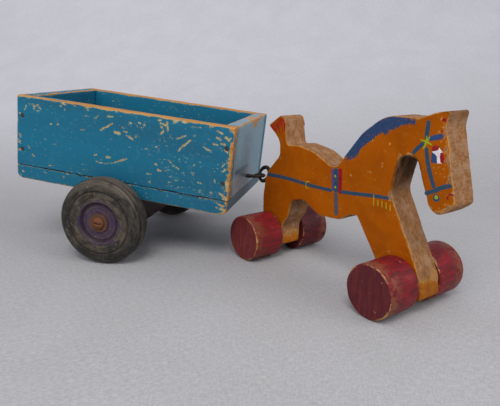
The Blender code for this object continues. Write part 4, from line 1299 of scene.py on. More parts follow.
@dataclass
class HorseBody:
    """The sawn board: faces in orange paint, bare sanded edges."""

    place: Placement
    thickness: float = 19.0
    axle_height: float = 17.0
    wheelbase: float = 120.0
    edge: float = 0.8
    dowel_hole: float = 3.6
    step: float = 1.0
    bent_grain: float = 6.0

    def outline(self) -> Array:
        """Side view of the board as points (x, z), clockwise as seen from the near side."""
        runs = ((HIND_UP, 0.0), (FORE, self.wheelbase), (HIND_DOWN, 0.0))
        corners = np.array([(axle + x, self.axle_height + height, radius)
                            for run, axle in runs for x, height, radius in run])
        return round_corners(corners[:, :2], corners[:, 2], self.step)

    def crest(self, x: Array) -> Array:
        """Highest point of the outline above each x."""
        first = self.outline()
        last = np.roll(first, -1, 0)
        run = np.where(first[:, 0] == last[:, 0], 1e-9, last[:, 0] - first[:, 0])
        share = (x[:, None] - first[:, 0]) / run
        height = first[:, 1] + share * (last[:, 1] - first[:, 1])
        return np.where((share >= 0.0) & (share <= 1.0), height, -1.0).max(1)

    def rim_cover(self, points: Array) -> Array:
        """Cover on the sanded edge: a thin lap of paint at its corners, more at the fore leg's foot."""
        from_face = self.thickness / 2.0 - np.abs(points[:, 1])
        lap = 0.05 + 0.5 * layered_noise(points, 5.0, 71)
        fore, hind = points[:, 0] > 60.0, (points[:, 0] > 6.0) & (points[:, 0] < 30.0)
        level = np.where(fore, 20.5, np.where(hind, 16.0, -9.0)) + 2.8 * layered_noise(points, 4.0, 73)
        foot = np.minimum(0.14 * (level - points[:, 2]), 0.3)
        return np.maximum(lap - from_face, foot)

    def face_cover(self, points: Array, edge: Array) -> Array:
        """Cover on a face: distance to the outline less the worn width, widest down the forehead."""
        x, z = points[:, 0], points[:, 2]
        wear = 0.25 + 0.45 * layered_noise(points, 7.0, 75)
        forehead = smooth_step(135.0, 146.0, x) * bump_at(z, 95.0, 24.0)
        worst = 3.4 * forehead
        for middle_x, reach_x, middle_z, reach_z, width in RUBBED:
            worst += width * (bump_at(x, middle_x, reach_x) * bump_at(z, middle_z, reach_z))
        wear += worst * (0.5 + 1.3 * layered_noise(points, 2.6, 77))
        return edge - wear

    def chip_field(self, points: Array) -> Array:
        """Distance from the edge of the nearest chip in the faces' paint."""
        nearest = np.full(len(points), NONE_NEAR)
        for x, z, radius in FACE_CHIPS:
            nearest = np.minimum(nearest, np.hypot(points[:, 0] - x, points[:, 2] - z) - radius)
        return nearest

    def scorch(self, points: Array) -> Array:
        """How dark the rim has gone where the saw turned tightly, under the throat and the belly."""
        total = np.zeros(len(points))
        for x, z, reach, share in SCORCHES:
            total += share * np.exp(-((points[:, 0] - x) ** 2 + (points[:, 2] - z) ** 2) / reach**2)
        uneven = 0.8 + 0.5 * layered_noise(points * np.array([1.0, 2.0, 0.4]), 5.0, 79)
        return np.clip(total * uneven, 0.0, 1.0)

    def rim(self, line: Array, outward: Array) -> Shape:
        """The sanded edge: a profile (inset, y) carried along the outline, pressed in where knocked.

        The profile is a quarter round, a flat and a quarter round. The field "grain" is run along
        the outline by y, or the other way about down the forehead, where the streaks lie across.

        Args:
            line: the outline's points.
            outward: unit vector out of the outline at each.

        Returns:
            The rim, open at both faces.
        """
        half = self.thickness / 2.0
        angles = np.radians([0.0, 22.5, 45.0, 67.5, 90.0])
        near = np.c_[self.edge * (1.0 - np.sin(angles)), -half + self.edge * (1.0 - np.cos(angles))]
        flat = np.c_[np.zeros(9), np.linspace(-half + self.edge, half - self.edge, 11)[1:-1]]
        profile = np.vstack([near, flat, near[::-1] * np.array([1.0, -1.0])])
        count, rows = len(line), len(profile)
        spots = (line[None] - outward[None] * profile[:, 0][:, None, None]).reshape(-1, 2)
        inset, y = np.repeat(profile, count, axis=0).T
        points = np.c_[spots[:, 0], y, spots[:, 1]]
        away = np.tile(np.c_[outward[:, 0], np.zeros(count), outward[:, 1]], (rows, 1))
        press = 0.05 + 0.06 * (1.0 + lattice_noise(points, 8.0, 81)) * (inset < 0.7)
        knocked = np.clip(0.2 + layered_noise(points, 3.5, 83), 0.0, 1.0)
        press += bump_at(np.abs(y), half - 0.3, 0.7) * 0.30 * knocked
        run = np.tile(lengths_along(line), rows)
        across = (away[:, 0] > 0.6) & (points[:, 0] > 138.0)
        grain = np.c_[np.where(across, y, run), np.where(across, run, y), 0.0 * run]
        fields = {"cover": self.rim_cover(points), "mark": np.full(len(points), NONE_NEAR),
                  "stain": self.scorch(points), "grain": grain}
        return Shape(points - away * press[:, None], grid_faces(rows, count, 0, True), fields)

    def build(self, material: Material) -> None:
        """Make the board: its rim, its two faces, and the walls of the dowel holes."""
        line = self.outline()
        ahead = np.roll(line, -1, 0) - np.roll(line, 1, 0)
        ahead /= np.linalg.norm(ahead, axis=1)[:, None]
        shape = self.rim(line, np.c_[-ahead[:, 1], ahead[:, 0]])
        count, half = len(line), self.thickness / 2.0
        holes = [(0.0, self.axle_height), (self.wheelbase, self.axle_height)]
        last = len(shape.points) // count - 1
        loops = {}
        for side, row in ((-1.0, 0), (1.0, last)):
            ring = np.arange(row * count, (row + 1) * count)
            shape, loops[side] = self.add_face(shape, ring, side * half, holes, line)
        for near_loop, far_loop in zip(loops[-1.0], loops[1.0]):
            n = len(near_loop)
            shape.faces += [(near_loop[k], near_loop[(k + 1) % n], far_loop[(k + 1) % n], far_loop[k])
                            for k in range(n)]
        shape.piece("painted_horse_body", self.place, "horse", material, ["horse_body"], "orange_paint")

    def face_grain(self, points: Array, inset: Array, edge_points: Array, edge_grain: Array) -> Array:
        """Places in the wood's pattern: own axes, but near the rim its pattern bent over onto the face.

        Args:
            points: places on the face.
            inset: distance from the outline.
            edge_points: the rim's points at this face.
            edge_grain: their places in the pattern.

        Returns:
            A place in the pattern for each point.
        """
        off = points[:, None, [0, 2]] - edge_points[None, :, [0, 2]]
        nearest = np.argmin((off * off).sum(2), axis=1)
        bent = edge_grain[nearest].copy()
        across_y = np.abs(bent[:, 0] - points[:, 1]) < 1.0
        onward = np.sign(points[:, 1]) * inset
        bent[:, 0] += np.where(across_y, onward, 0.0)
        bent[:, 1] += np.where(across_y, 0.0, onward)
        return np.where((inset < self.bent_grain)[:, None], bent, points)

    def filling(self, edge_points: Array, holes: Sequence[Pair]) -> Array:
        """Uneven lattice of places (x, z) inside the outline, clear of it and of the dowel holes."""
        low, high = edge_points.min(0), edge_points.max(0)
        gx, gz = np.meshgrid(*(np.arange(low[k], high[k], self.step) for k in range(2)))
        lattice = np.c_[gx.ravel(), gz.ravel()]
        lattice += 0.22 * self.step * np.stack([lattice_noise(np.c_[lattice, lattice[:, :1]], 0.7, s)
                                                for s in (85, 86)], 1)
        clear = inside(lattice, edge_points)
        clear &= outline_distance(lattice, edge_points) > 0.55 * self.step
        for hole in holes:
            clear &= np.linalg.norm(lattice - np.array(hole), axis=1) > self.dowel_hole + 0.5
        return lattice[clear]

    def add_face(self, shape: Shape, ring: Array, level: float, holes: Sequence[Pair],
                 line: Array) -> tuple[Shape, list[list[int]]]:
        """Fill one face of the board inside its rim, round the dowel holes, with triangles.

        Args:
            shape: the rim so far.
            ring: its vertices at this face.
            level: the face's y.
            holes: middles of the dowel holes.
            line: the outline.

        Returns:
            The shape with the face, and the vertices round each hole.
        """
        edge_points = shape.points[ring][:, [0, 2]]
        turn = np.radians(np.arange(0.0, 360.0, 15.0))
        circle = self.dowel_hole * np.c_[np.cos(turn), np.sin(turn)]
        loops = [edge_points, *(np.array(hole) + circle for hole in holes)]
        starts = np.cumsum([0] + [len(loop) for loop in loops]).tolist()
        edges = [(start + k, start + (k + 1) % len(loop))
                 for start, loop in zip(starts, loops) for k in range(len(loop))]
        plan = np.vstack([*loops, self.filling(edge_points, holes)])
        found, _, triangles, sources, _, _ = delaunay_2d_cdt([Vector(p) for p in plan.tolist()], edges,
                                                             [], 1, 1e-7)
        made = np.array([tuple(v) for v in found])
        middles = np.array([made[list(triangle)].mean(0) for triangle in triangles])
        solid = inside(middles, edge_points)
        for hole in holes:
            solid &= np.linalg.norm(middles - np.array(hole), axis=1) > self.dowel_hole * 0.99
        index = {}
        for new, rows in enumerate(sources):
            index.update((row, new) for row in rows if row not in index)
        to_shape = {index[row]: int(vertex) for row, vertex in enumerate(ring)}
        fresh = [i for i in range(len(made)) if i not in to_shape]
        to_shape.update({i: len(shape.points) + k for k, i in enumerate(fresh)})
        added = np.c_[made[fresh, 0], np.full(len(fresh), level), made[fresh, 1]]
        shape.fields["cover"][ring] = self.face_cover(shape.points[ring], np.full(len(ring), self.edge))
        # The faces go darker towards the rump, below x of about 34 mm.
        darker_to_rump = 0.14 * smooth_step(34.0, 2.0, added[:, 0]) * (1.0 + 0.5 * layered_noise(added, 18.0, 87))
        inset = outline_distance(made[fresh], line)
        fields = {"cover": self.face_cover(added, inset), "mark": self.chip_field(added), "stain": darker_to_rump,
                  "grain": self.face_grain(added, inset, shape.points[ring], shape.fields["grain"][ring])}
        faces = []
        for triangle, keep in zip(triangles, solid):
            if keep:
                corners = [to_shape[i] for i in triangle]
                a, b, c = (made[i] for i in triangle)
                area = (b[0] - a[0]) * (c[1] - a[1]) - (b[1] - a[1]) * (c[0] - a[0])
                faces.append(tuple(corners if (area > 0) == (level < 0) else corners[::-1]))
        joined = {key: np.concatenate([old, fields[key]]) for key, old in shape.fields.items()}
        rounds = [[to_shape[index[start + k]] for k in range(len(circle))] for start in starts[1:-1]]
        return Shape(np.vstack([shape.points, added]), shape.faces + faces, joined), rounds


def outline_distance(points: Array, loop: Array) -> Array:
    """Least distance from points to a closed outline, segment by segment."""
    best = np.full(len(points), np.inf)
    for a, b in zip(loop, np.roll(loop, -1, 0)):
        best = np.minimum(best, segment_distance(points, a, b))
    return best


def inside(points: Array, loop: Array) -> Array:
    """Whether points lie in a closed outline, by counting the sides that a ray along +x crosses."""
    x, z = points[:, 0][:, None], points[:, 1][:, None]
    a, b = loop, np.roll(loop, -1, 0)
    spans = (a[:, 1] > z) != (b[:, 1] > z)
    rise = np.where(b[:, 1] == a[:, 1], 1e-12, b[:, 1] - a[:, 1])
    cross = a[:, 0] + (z - a[:, 1]) * (b[:, 0] - a[:, 0]) / rise
    return (np.sum(spans & (x < cross), axis=1) % 2) == 1


# The harness


@dataclass(frozen=True)
class Brush:
    """Paints strokes and blots on both of the horse's flat faces as thin raised films."""

    place: Placement
    face: float = 9.5
    sunk: float = 0.03
    spacing: float = 0.45
    end_crowding: float = 0.35

    def film(self, name: str, plan: Array, across: Array, material: Material, lift: float,
             closed: bool = False) -> None:
        """Make a film from a grid of (x, z) rows, once on each face.

        The film rises by (lift + sunk) (1 - across^4) from an underside that lies a hair inside the
        face, and meets it all round, so it is a closed shell.

        Args:
            name: the piece's name. On the far face, "_far" is added.
            plan: rows by columns by 2 places.
            across: how far from the film's middle each place is, 0 to 1.
            material: its paint.
            lift: the film's thickness.
            closed: whether each row is a ring.
        """
        base = self.face - self.sunk
        x, z = plan.reshape(-1, 2).T
        levels = (base + (lift + self.sunk) * (1.0 - across.ravel()**4), np.full(across.size, base))
        quads = [q for start in (0, across.size) for q in grid_faces(*across.shape, start, closed)]
        for side in Side:
            points = np.round(np.vstack([np.c_[x, side.value * level, z] for level in levels]), 4)
            keep, rings = welded(points, quads, 4)
            single = {frozenset(ring): ring for ring in rings}
            label = name if side is Side.NEAR else name + "_far"
            shape = Shape(points[keep], list(single.values()))
            thing = shape.piece(label, self.place, "horse", material)
            work = bmesh.new()
            work.from_mesh(thing.data)
            bmesh.ops.recalc_face_normals(work, faces=work.faces)
            if work.calc_volume(signed=True) < 0.0:
                bmesh.ops.reverse_faces(work, faces=work.faces)
            work.to_mesh(thing.data)
            work.free()
            thing.data.set_sharp_from_angle(angle=math.radians(60))

    def stroke(self, name: str, path: Sequence[Pair], widths: float | Sequence[float],
               material: Material, lift: float, ragged: float) -> None:
        """Brush a line.

        The path is a spline through its points, and a place is path(s) + n(s) t w(s) / 2 with t from
        -1 to 1. The width swells by a few hundredths of itself at random and closes at the ends
        as sqrt(1 - e^2). Rows crowd a little towards both ends.

        Args:
            name: the piece's name.
            path: points (x, z).
            widths: one width, or one at each point.
            material: its paint.
            lift: film thickness.
            ragged: share of the width that the edge wanders by.
        """
        points = np.array(path, float)
        lengths = lengths_along(points)
        steps = max(6, int(lengths[-1] / self.spacing))
        eased = (1.0 - np.cos(np.linspace(0.0, math.pi, steps))) / 2.0
        at = eased * self.end_crowding + np.linspace(0.0, 1.0, steps) * (1.0 - self.end_crowding)
        at *= lengths[-1]
        line = np.stack([spline(lengths, points[:, k], at) for k in range(2)], 1)
        ahead = np.gradient(line, axis=0)
        ahead /= np.linalg.norm(ahead, axis=1)[:, None]
        across = np.c_[-ahead[:, 1], ahead[:, 0]]
        breadth = np.interp(at, lengths, np.broadcast_to(np.array(widths, float), (len(points),)))
        reach = np.minimum(at, lengths[-1] - at) / (breadth * 0.45)
        closing = np.sqrt(np.clip(1.0 - (1.0 - np.clip(reach, 0.0, 1.0)) ** 2, 0.06, 1.0))
        breadth = breadth * closing
        t = np.linspace(-1.0, 1.0, 7)[None]
        low, high = (layered_noise(np.c_[line, np.full(steps, s)], 1.6, 91)[:, None] for s in (-9.0, 9.0))
        shift = np.where(t < 0, -low, high) * np.abs(t) * ragged
        place = line[:, None] + across[:, None] * ((t + shift) * breadth[:, None] / 2.0)[..., None]
        edge = np.tile(np.abs(t), (steps, 1))
        edge[[0, -1]] = 1.0
        self.film(name, place, edge, material, lift)

    def blot(self, name: str, outline: Sequence[Pair], material: Material,
             lift: float, round_off: float) -> None:
        """Fill a small area: rings centre + r (outline - centre), with r from 0 to 1.

        Args:
            name: the piece's name.
            outline: corners (x, z), star-shaped about their middle.
            material: its paint.
            lift: film thickness.
            round_off: radius of the corners.
        """
        corners = np.array(outline, float)
        loop = round_corners(corners, np.full(len(corners), round_off), 0.3)
        centre = corners.mean(0)
        r = np.array([0.0, 0.35, 0.65, 0.85, 0.95, 1.0])[:, None]
        place = centre + r[..., None] * (loop[None] - centre)
        self.film(name, place, np.broadcast_to(r, place.shape[:2]), material, lift, True)

    def dot(self, name: str, middle: Pair, radius: float, material: Material,
            lift: float) -> None:
        """A round dab of paint, a little out of round."""
        angles = np.radians(np.arange(0.0, 360.0, 30.0))
        reach = radius * (1.0 + 0.08 * np.sin(3.0 * angles + middle[0]))
        outline = np.array(middle) + reach[:, None] * np.c_[np.cos(angles), np.sin(angles)]
        self.blot(name, outline, material, lift, 0.25)

    def band(self, name: str, lower: Array, upper: Array, material: Material, lift: float) -> None:
        """Fill between two lines: place = lower + t (upper - lower), with t from 0 to 1."""
        t = np.linspace(0.0, 1.0, 9)[None]
        edge = np.tile(np.abs(t * 2.0 - 1.0), (len(lower), 1))
        edge[[0, -1]] = 1.0
        self.film(name, lower[:, None] + t[..., None] * (upper - lower)[:, None], edge, material, lift)


def spline(knots: Array, values: Array, at: Array) -> Array:
    """Cubic through the knots, with each knot's slope the mean of its two neighbours'."""
    if len(knots) == 2:
        return np.interp(at, knots, values)
    slopes = np.gradient(values, knots)
    k = np.clip(np.searchsorted(knots, at, side="right") - 1, 0, len(knots) - 2)
    span = knots[k + 1] - knots[k]
    t = (at - knots[k]) / span
    return ((2 * t**3 - 3 * t**2 + 1) * values[k] + (t**3 - 2 * t**2 + t) * span * slopes[k]
            + (3 * t**2 - 2 * t**3) * values[k + 1] + (t**3 - t**2) * span * slopes[k + 1])


MANE_FOOT = (
    (72.4, 99.0), (74.6, 84.4), (77.4, 85.4), (80.2, 86.6), (83.6, 88.4), (84.6, 92.4), (87.4, 94.6),
    (90.2, 97.2), (93.2, 99.0), (96.8, 102.2), (100.6, 104.8), (103.6, 103.2), (106.0, 106.8),
    (109.8, 108.0), (113.6, 110.4), (117.0, 111.0), (119.8, 112.2), (122.6, 111.6), (123.4, 113.4),
)
"""Lower edge of the mane (x, z)."""
TAIL_STREAKS = (
    (-1.6, 99.4, 3.6, 95.2), (0.4, 101.0, 5.6, 94.0), (2.4, 102.4, 5.8, 97.0), (4.4, 103.8, 9.0, 94.0),
    (6.4, 105.0, 8.4, 99.0), (8.2, 106.0, 11.6, 94.8), (10.4, 105.9, 11.2, 100.0), (12.2, 105.2, 13.8, 96.4),
)
"""Ends of the tail's dark streaks (x, z, x, z)."""
STRAPS = (
    ("rear_trace", "BLUE_STRAP", 0.07, 0.10, (3.3, 3.0, 2.9, 2.8, 2.7, 2.7),
     ((-4.4, 62.2), (9.0, 62.8), (19.2, 63.0), (37.7, 62.4), (53.7, 62.3), (63.0, 62.6))),
    ("fore_trace", "BLUE_STRAP", 0.07, 0.10, (2.7, 2.7, 2.8, 2.8, 2.5),
     ((70.6, 63.3), (80.0, 64.2), (88.7, 65.1), (97.6, 66.1), (109.6, 67.0))),
    ("girth_purple", "PURPLE", 0.06, 0.10, 1.9, ((62.4, 77.4), (62.9, 70.0), (63.5, 62.4))),
    ("girth_blue", "BLUE_STRAP", 0.08, 0.06, 4.8, ((65.6, 78.2), (66.0, 70.4), (66.5, 61.8))),
    ("girth_red", "CRIMSON", 0.06, 0.10, 4.0, ((69.3, 78.8), (69.7, 70.6), (70.1, 61.6))),
    ("belly_strap", "GREY_STRAP", 0.05, 0.10, (4.9, 4.7, 4.6), ((66.5, 62.0), (67.2, 54.6), (67.9, 46.2))),
    ("buckle_bar", "YELLOW", 0.12, 0.10, 0.9, ((38.0, 64.4), (38.0, 59.2))),
    ("buckle_top", "YELLOW", 0.12, 0.10, 0.9, ((38.0, 64.2), (41.6, 64.6))),
    ("buckle_foot", "YELLOW", 0.12, 0.10, 0.9, ((38.0, 59.4), (41.2, 59.9))),
)
"""Lines on the body: name, paint, thickness, raggedness, width or widths, and points (x, z)."""
BRIDLE = (
    ("crown_strap", "BLUE_STRAP", 0.07, 0.10, (3.0, 3.2, 2.9),
     ((131.5, 115.3), (131.3, 110.0), (131.0, 104.8))),
    ("brow_band", "CROWN_BLUE", 0.07, 0.10, (3.0, 3.5, 3.3),
     ((132.6, 105.1), (137.0, 106.6), (141.4, 107.8))),
    ("throat_strap", "BLUE_STRAP", 0.07, 0.10, (2.7, 3.0, 2.6),
     ((129.9, 102.8), (126.4, 99.6), (123.0, 95.6))),
    ("cheek_strap", "BLUE_STRAP", 0.07, 0.10, (2.8, 3.1, 2.9),
     ((131.4, 100.6), (133.5, 91.6), (138.9, 78.8))),
    ("nose_band", "BLUE_STRAP", 0.08, 0.10, (2.4, 2.8, 2.8, 2.6),
     ((133.3, 74.6), (139.4, 77.6), (144.0, 80.3), (149.4, 82.0))),
)
"""Lines on the head, the same way."""
RED_MARKS = (
    ("nostril_top", "CRIMSON", 0.08, 0.10, (0.9, 1.2, 0.7), ((147.7, 76.8), (149.4, 77.4), (151.0, 77.0))),
    ("nostril_side", "CRIMSON", 0.08, 0.10, (0.9, 1.1, 0.7), ((147.7, 76.6), (147.5, 75.2), (148.2, 73.9))),
    ("ear_mark", "CRIMSON", 0.06, 0.3, (1.4, 2.4, 1.4), ((139.4, 115.6), (140.8, 116.4), (142.0, 115.4))),
    ("brow_mark", "CRIMSON", 0.06, 0.3, (0.9, 1.1), ((139.4, 110.4), (140.9, 110.1))),
)
"""Lines at nostril, ear and brow, the same way."""
FRINGE = (
    (97.9, 67.4, 59.8), (101.3, 64.4, 60.1), (104.4, 64.6, 60.1), (107.6, 64.2, 59.7), (110.6, 63.4, 59.4),
)
"""Threads of the breast fringe: x, top and foot."""
STAR = ((133.2, 106.6), (134.8, 102.2), (129.6, 99.2), (127.2, 104.2), (131.2, 107.0))
"""Tips of the star where the head straps meet."""
STUDS = (("girth_stud_1", "LIME", 0.14, 1.15, (65.3, 72.8)),
         ("girth_stud_2", "LIME", 0.14, 1.15, (65.8, 65.4)))
"""Round dabs on the girth: name, paint, thickness, radius and middle."""
BIT = (("bit_ring", "BLUE_STRAP", 0.1, 2.3, (140.8, 73.6)), ("bit_stud", "LIME", 0.17, 1.45, (140.8, 74.0)))
"""Round dabs at the bit, the same way."""
BLOTS = (
    ("eye_white", "WHITE", 0.09, 0.35, ((135.4, 101.6), (138.9, 102.2), (141.8, 99.6), (143.2, 95.6),
                                        (142.8, 92.9), (139.4, 92.4), (135.5, 92.5), (135.1, 97.0))),
    ("eye_blue", "CROWN_BLUE", 0.15, 0.3, ((135.0, 98.6), (137.8, 98.0), (139.3, 96.4), (139.3, 92.5),
                                           (135.2, 92.5))),
    ("eye_red", "CRIMSON", 0.15, 0.25, ((140.2, 99.4), (142.2, 99.0), (143.3, 95.6), (143.0, 92.9),
                                        (141.0, 93.2), (140.1, 96.2))),
    ("eye_corner", "CRIMSON", 0.15, 0.2, ((135.2, 101.4), (137.0, 102.5), (139.5, 102.2), (139.5, 100.0),
                                          (137.8, 98.9), (135.2, 98.7))),
)
"""Filled areas: name, paint, thickness, radius of the corners, and corners."""


@dataclass
class Harness:
    """Mane, tail, straps, buckles, fringe, eye and nostril painted on the horse's faces."""

    place: Placement
    body: HorseBody
    star_middle: Pair = (131.3, 103.4)
    lock_width: float = 2.1

    def build(self) -> None:
        """Brush everything on, from the mane to the brow."""
        brush = Brush(self.place)
        paints = {look.name: look.value.material(look.name.lower() + "_brushed", self.place)
                  for look in Finish if isinstance(look.value, BrushPaint)}
        self.mane(brush, paints["MANE_BLUE"])
        for k, (x0, z0, x1, z1) in enumerate(TAIL_STREAKS):
            bend = ((x0 + x1) / 2.0 + 0.5, (z0 + z1) / 2.0)
            brush.stroke(f"tail_streak_{k + 1}", ((x0, z0), bend, (x1, z1)), (1.6, 1.7, 0.7),
                         paints["TAIL_RED"], 0.05, 0.3)
        self.lines(brush, paints, STRAPS)
        self.dabs(brush, paints, STUDS)
        for k, (x, top, foot) in enumerate(FRINGE):
            brush.stroke(f"fringe_{k + 1}", ((x, top), (x + 0.35, foot)), (0.9, 1.3),
                         paints["YELLOW"], 0.09, 0.1)
        self.lines(brush, paints, BRIDLE)
        self.dabs(brush, paints, BIT)
        for k, tip in enumerate(STAR):
            brush.stroke(f"star_arm_{k + 1}", (self.star_middle, tip), (1.4, 0.8), paints["LIME"],
                         0.12 + 0.01 * k, 0.1)
        for name, look, lift, round_off, corners in BLOTS:
            brush.blot(name, corners, paints[look], lift, round_off)
        self.lines(brush, paints, RED_MARKS)

    def lines(self, brush: Brush, paints: dict[str, Material], rows: Sequence[tuple]) -> None:
        """Brush the lines of a table."""
        for name, look, lift, ragged, widths, path in rows:
            brush.stroke(name, path, widths, paints[look], lift, ragged)

    def dabs(self, brush: Brush, paints: dict[str, Material], rows: Sequence[tuple]) -> None:
        """Dab the rounds of a table."""
        for name, look, lift, radius, middle in rows:
            brush.dot(name, middle, radius, paints[look], lift)

    def mane(self, brush: Brush, material: Material) -> None:
        """Blue mane: the outline's crest above, a ragged line of locks below."""
        foot = np.array(MANE_FOOT)
        x = np.linspace(foot[0, 0], foot[-1, 0], 150)
        z = np.interp(x, foot[:, 0], foot[:, 1])
        lock = (x / self.lock_width + 0.6 * layered_noise(np.c_[x, z * 0.0, z * 0.0], 5.0, 97)) % 1.0
        z += 1.5 * (lock - 0.5) + 0.4 * layered_noise(np.c_[x, z, z * 0.0], 1.3, 95)
        top = self.body.crest(x)
        brush.band("mane", np.c_[x, np.minimum(z, top - 0.7)], np.c_[x - 0.35, top - 0.55], material, 0.06)


@dataclass
class Roller:
    """One of the horse's rollers, glued to the end of a dowel."""

    end: str
    side: Side
    place: Placement
    axle_x: float
    axle_height: float = 17.0
    radius: float = 17.0
    edge: float = 1.2
    facets: int = 96

    def section(self, length: float) -> Array:
        """Half section from the middle of the inner face to the middle of the outer one."""
        angles = np.radians(np.arange(0.0, 91.0, 15.0))
        face = spaced(0.0, self.radius - self.edge, 1.2)[:-1]
        corner_radius = self.radius - self.edge + self.edge * np.sin(angles)
        corner_y = self.edge * (1.0 - np.cos(angles))
        body = spaced(self.edge, length - self.edge, 1.0)[1:-1]
        radii = [face, corner_radius, np.full(len(body), self.radius), corner_radius[::-1], face[::-1]]
        levels = [0.0 * face, corner_y, body, length - corner_y[::-1], np.full(len(face), length)]
        return np.c_[np.concatenate(radii), np.concatenate(levels)]

    def build(self, material: Material) -> None:
        """Turn the roller from its inner face outwards, knocked a little along its edges."""
        far = self.side is Side.FAR
        node = f"{self.end}_{self.side.of('roller')}"
        low, high = self.place.node_box(node)
        length = high[1] - low[1]
        line = self.section(length)
        seed = 101 + 7 * int(self.axle_x > 0) + 3 * int(far)

        def wobble(angle: Array, row: Array) -> Array:
            """Inward press: flats and knocks, stronger at the two edges."""
            spot = np.c_[np.sin(angle) * self.radius, np.cos(angle) * self.radius, line[row, 1]]
            near_end = np.exp(-np.minimum(line[row, 1], length - line[row, 1]) / 1.2)
            on_side = line[row, 0] > self.radius - self.edge - 0.1
            flats = 0.05 * (1.0 + lattice_noise(spot, 12.0, seed + 3))
            knocks = np.clip(layered_noise(spot, 3.2, seed) - 0.1, 0.0, 1.0)
            return on_side * (flats + knocks * (0.04 + 0.35 * near_end))

        shape = turned(line, self.facets, wobble)
        at = shape.fields["turn"]
        reach = np.hypot(at[:, 0], at[:, 2])
        from_corner = np.where(reach > self.radius - 0.9, np.minimum(at[:, 1], length - at[:, 1]),
                               self.radius - reach)
        angle = np.arctan2(at[:, 0], at[:, 2])
        spot = np.c_[np.sin(angle) * 9.0, np.cos(angle) * 9.0, at[:, 1] * 0.2]
        shape.fields["cover"] = from_corner - (0.25 + 0.8 * layered_noise(spot, 5.0, seed + 11))
        shape.fields["end"] = smooth_step(self.radius - 0.55, self.radius - 1.1, reach)
        shape.fields["outer"] = smooth_step(length - 12.0, length - 3.0, at[:, 1])
        shape.fields["turn"] = at + np.array([self.axle_x * 0.7, 40.0 * self.side.value, 0.0])
        shape.set_on(self.side, (self.axle_x, low[1] if far else high[1], self.axle_height))
        shape.piece("painted_" + node, self.place, self.end + "_axle", material, [node], "red_paint")


# Studio


LAMPS = (
    ("overhead", (0.1, -0.8, 1.02), (0.0, 0.0, 0.03), 0.5, 7.0, (1.0, 0.99, 0.97)),
    ("right_key", (1.2, -0.3, 0.8), (0.0, 0.0, 0.03), 0.8, 5.8, (1.0, 1.0, 0.99)),
    ("front_fill", (-0.6, -1.2, 0.9), (0.0, 0.2, 0.05), 1.0, 4.6, (0.98, 0.99, 1.0)),
    ("back_wash", (-0.9, 0.5, 1.3), (-0.5, 1.6, 0.4), 1.0, 4.0, (1.0, 1.0, 1.0)),
)
"""Square soft lights: name, place, the point they aim at, size, watts and colour."""


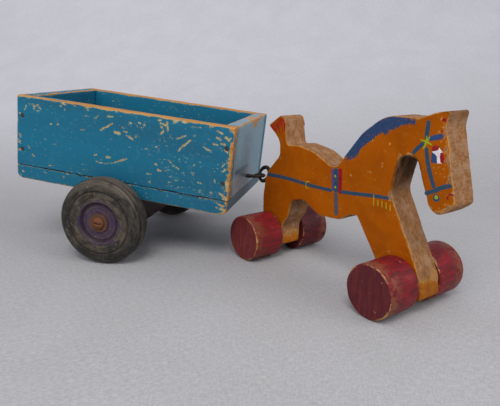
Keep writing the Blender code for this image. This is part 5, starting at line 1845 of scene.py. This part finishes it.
@dataclass(frozen=True)
class Studio:
    """Pale paper sweep, soft lights, and a camera where the photograph was taken from."""

    lens: float = 38.292
    camera_place: Triple = (0.102955, -0.383191, 0.144749)
    turn: Triple = (1.8196216, 0.2179774, -0.1521933)
    bend_start: float = 0.28
    bend_radius: float = 1.0
    bend_turn: float = 60.0
    # Painted light: paper darker at the front of the floor, lighter up the sweep.
    near_paper: Colour = (182, 181, 183)
    far_paper: Colour = (226, 225, 232)
    fold: Colour = (198, 197, 202)
    thread: Colour = (224, 224, 226)
    room: Triple = (0.80, 0.81, 0.85)
    room_strength: float = 0.50

    def camera(self) -> None:
        """The camera. turn is the rotation vector whose matrix has the rows right, down, ahead."""
        vector = Vector(self.turn)
        rows = Matrix.Rotation(vector.length, 3, vector.normalized())
        right, down, ahead = (Vector(row) for row in rows)
        data = bpy.data.cameras.new("camera")
        data.lens = self.lens
        data.sensor_width = 36.0
        data.clip_start = 0.01
        thing = add_object("camera", data)
        thing.matrix_world = (Matrix.Translation(self.camera_place)
                              @ Matrix((right, -down, -ahead)).transposed().to_4x4())
        bpy.context.scene.camera = thing

    def sweep(self) -> None:
        """Floor that curves up behind: a line along y, flat, round and steep, carried along x."""
        flat = spaced(-6.0, self.bend_start, 0.2)
        turn = np.radians(np.arange(6.0, self.bend_turn + 1.0, 6.0))
        round_y = self.bend_start + self.bend_radius * np.sin(turn)
        round_z = self.bend_radius * (1.0 - np.cos(turn))
        y = np.concatenate([flat, round_y, [round_y[-1] + 1.5 * math.cos(turn[-1])]])
        z = np.concatenate([0.0 * flat, round_z, [round_z[-1] + 1.5 * math.sin(turn[-1])]])
        x = spaced(-6.0, 6.0, 0.4)
        grid = np.c_[np.repeat(x, len(y)), np.tile(y, len(x)), np.tile(z, len(x))]
        mesh = bpy.data.meshes.new("paper_sweep")
        mesh.from_pydata(grid, [], [q[::-1] for q in grid_faces(len(x), len(y))])
        mesh.polygons.foreach_set("use_smooth", np.ones(len(mesh.polygons), bool))
        graph = Graph("pale_paper")
        at = graph.own(Placement((0.0, 0.0, 0.0), "Z", 0.0))
        threads = graph.math("ADD", graph.noise(at, 0.9, 3.0, 0.0, (4.0, 1.0, 1.0)),
                             graph.noise(at, 0.9, 3.0, 0.0, (1.0, 4.0, 1.0), 12.0))
        folds = graph.smooth(graph.noise(at, 60.0, 3.0, 0.5), 0.3, 0.7)
        x, y, _ = graph.split(at)
        # Painted light: the paper lighter towards the back and towards the left.
        back = graph.smooth(graph.scaled(x, -0.35, y), 60.0, 900.0)
        colour = graph.mix(back, self.near_paper, self.far_paper)
        colour = graph.mix(graph.times(folds, 0.2), colour, self.fold)
        colour = graph.mix(graph.smooth(threads, 0.6, 1.4), colour, self.thread, "MULTIPLY")
        height = graph.times(threads, 0.03)
        mesh.materials.append(graph.finish(colour, 0.9, graph.relief(height)))
        add_object("paper_sweep", mesh)

    def lamp(self, name: str, place: Triple, target: Triple,
             size: float, power: float, colour: Triple) -> None:
        """A square soft light aimed at a point."""
        data = bpy.data.lights.new(name, "AREA")
        data.energy, data.size, data.color = power, size, colour
        thing = add_object(name, data)
        thing.location = place
        thing.rotation_euler = (Vector(target) - Vector(place)).to_track_quat("-Z", "Y").to_euler()

    def build(self) -> None:
        """Set up everything round the toy."""
        self.camera()
        self.sweep()
        for row in LAMPS:
            self.lamp(*row)
        world = bpy.data.worlds.new("room")
        world.use_nodes = True
        background = world.node_tree.nodes["Background"].inputs
        background[0].default_value = (*self.room, 1.0)
        background[1].default_value = self.room_strength
        bpy.context.scene.view_settings.view_transform = "Standard"
        bpy.context.scene.world = world


# Putting it together


def main() -> None:
    """Build every piece."""
    logging.basicConfig(level=logging.INFO, format="%(message)s")
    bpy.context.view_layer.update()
    cart, horse = place_from_record()
    CartBox(cart).build()
    wheel_paint = Finish.WHEEL.value.material("wheel_paint_worn")
    for side in Side:
        CartWheel(side, cart).build(wheel_paint)
        for node, finish, metal in (("wheel_screw", Finish.RUST, "screw_rust"),
                                    ("washer", Finish.BRASSY, "washer_rust")):
            smoothed(side.of(node), "cart", finish.value.material(side.of(metal), cart))
    swing = next(joint for joint in frame["joints"] if joint["name"] == "horse_swing")
    rub = WireRub(Vector(swing["pos_m"]))
    for node, body_name, place in (("cart_hook", "cart", cart), ("rump_eye", "horse", horse)):
        wire = Finish.DARK_WIRE.value.material(node + "_wire", place)
        smoothed(node, body_name, wire, 60.0, rub)
    body = HorseBody(horse)
    body.build(Finish.ORANGE.value.material("orange_paint_worn", horse))
    Harness(horse, body).build()
    reds = {look: look.value.material(look.name.lower() + "_roller_paint")
            for look in (Finish.RED, Finish.REAR_RED, Finish.SHADED_RED)}
    for end, axle_x, looks in (("rear", 0.0, (Finish.REAR_RED, Finish.SHADED_RED)),
                               ("front", body.wheelbase, (Finish.RED, Finish.RED))):
        dress(end + "_dowel", PALE_WOOD.material(end + "_dowel_wood", horse))
        for side, look in zip(Side, looks):
            Roller(end, side, horse, axle_x).build(reds[look])
    Studio().build()


if __name__ == "__main__":
    main()
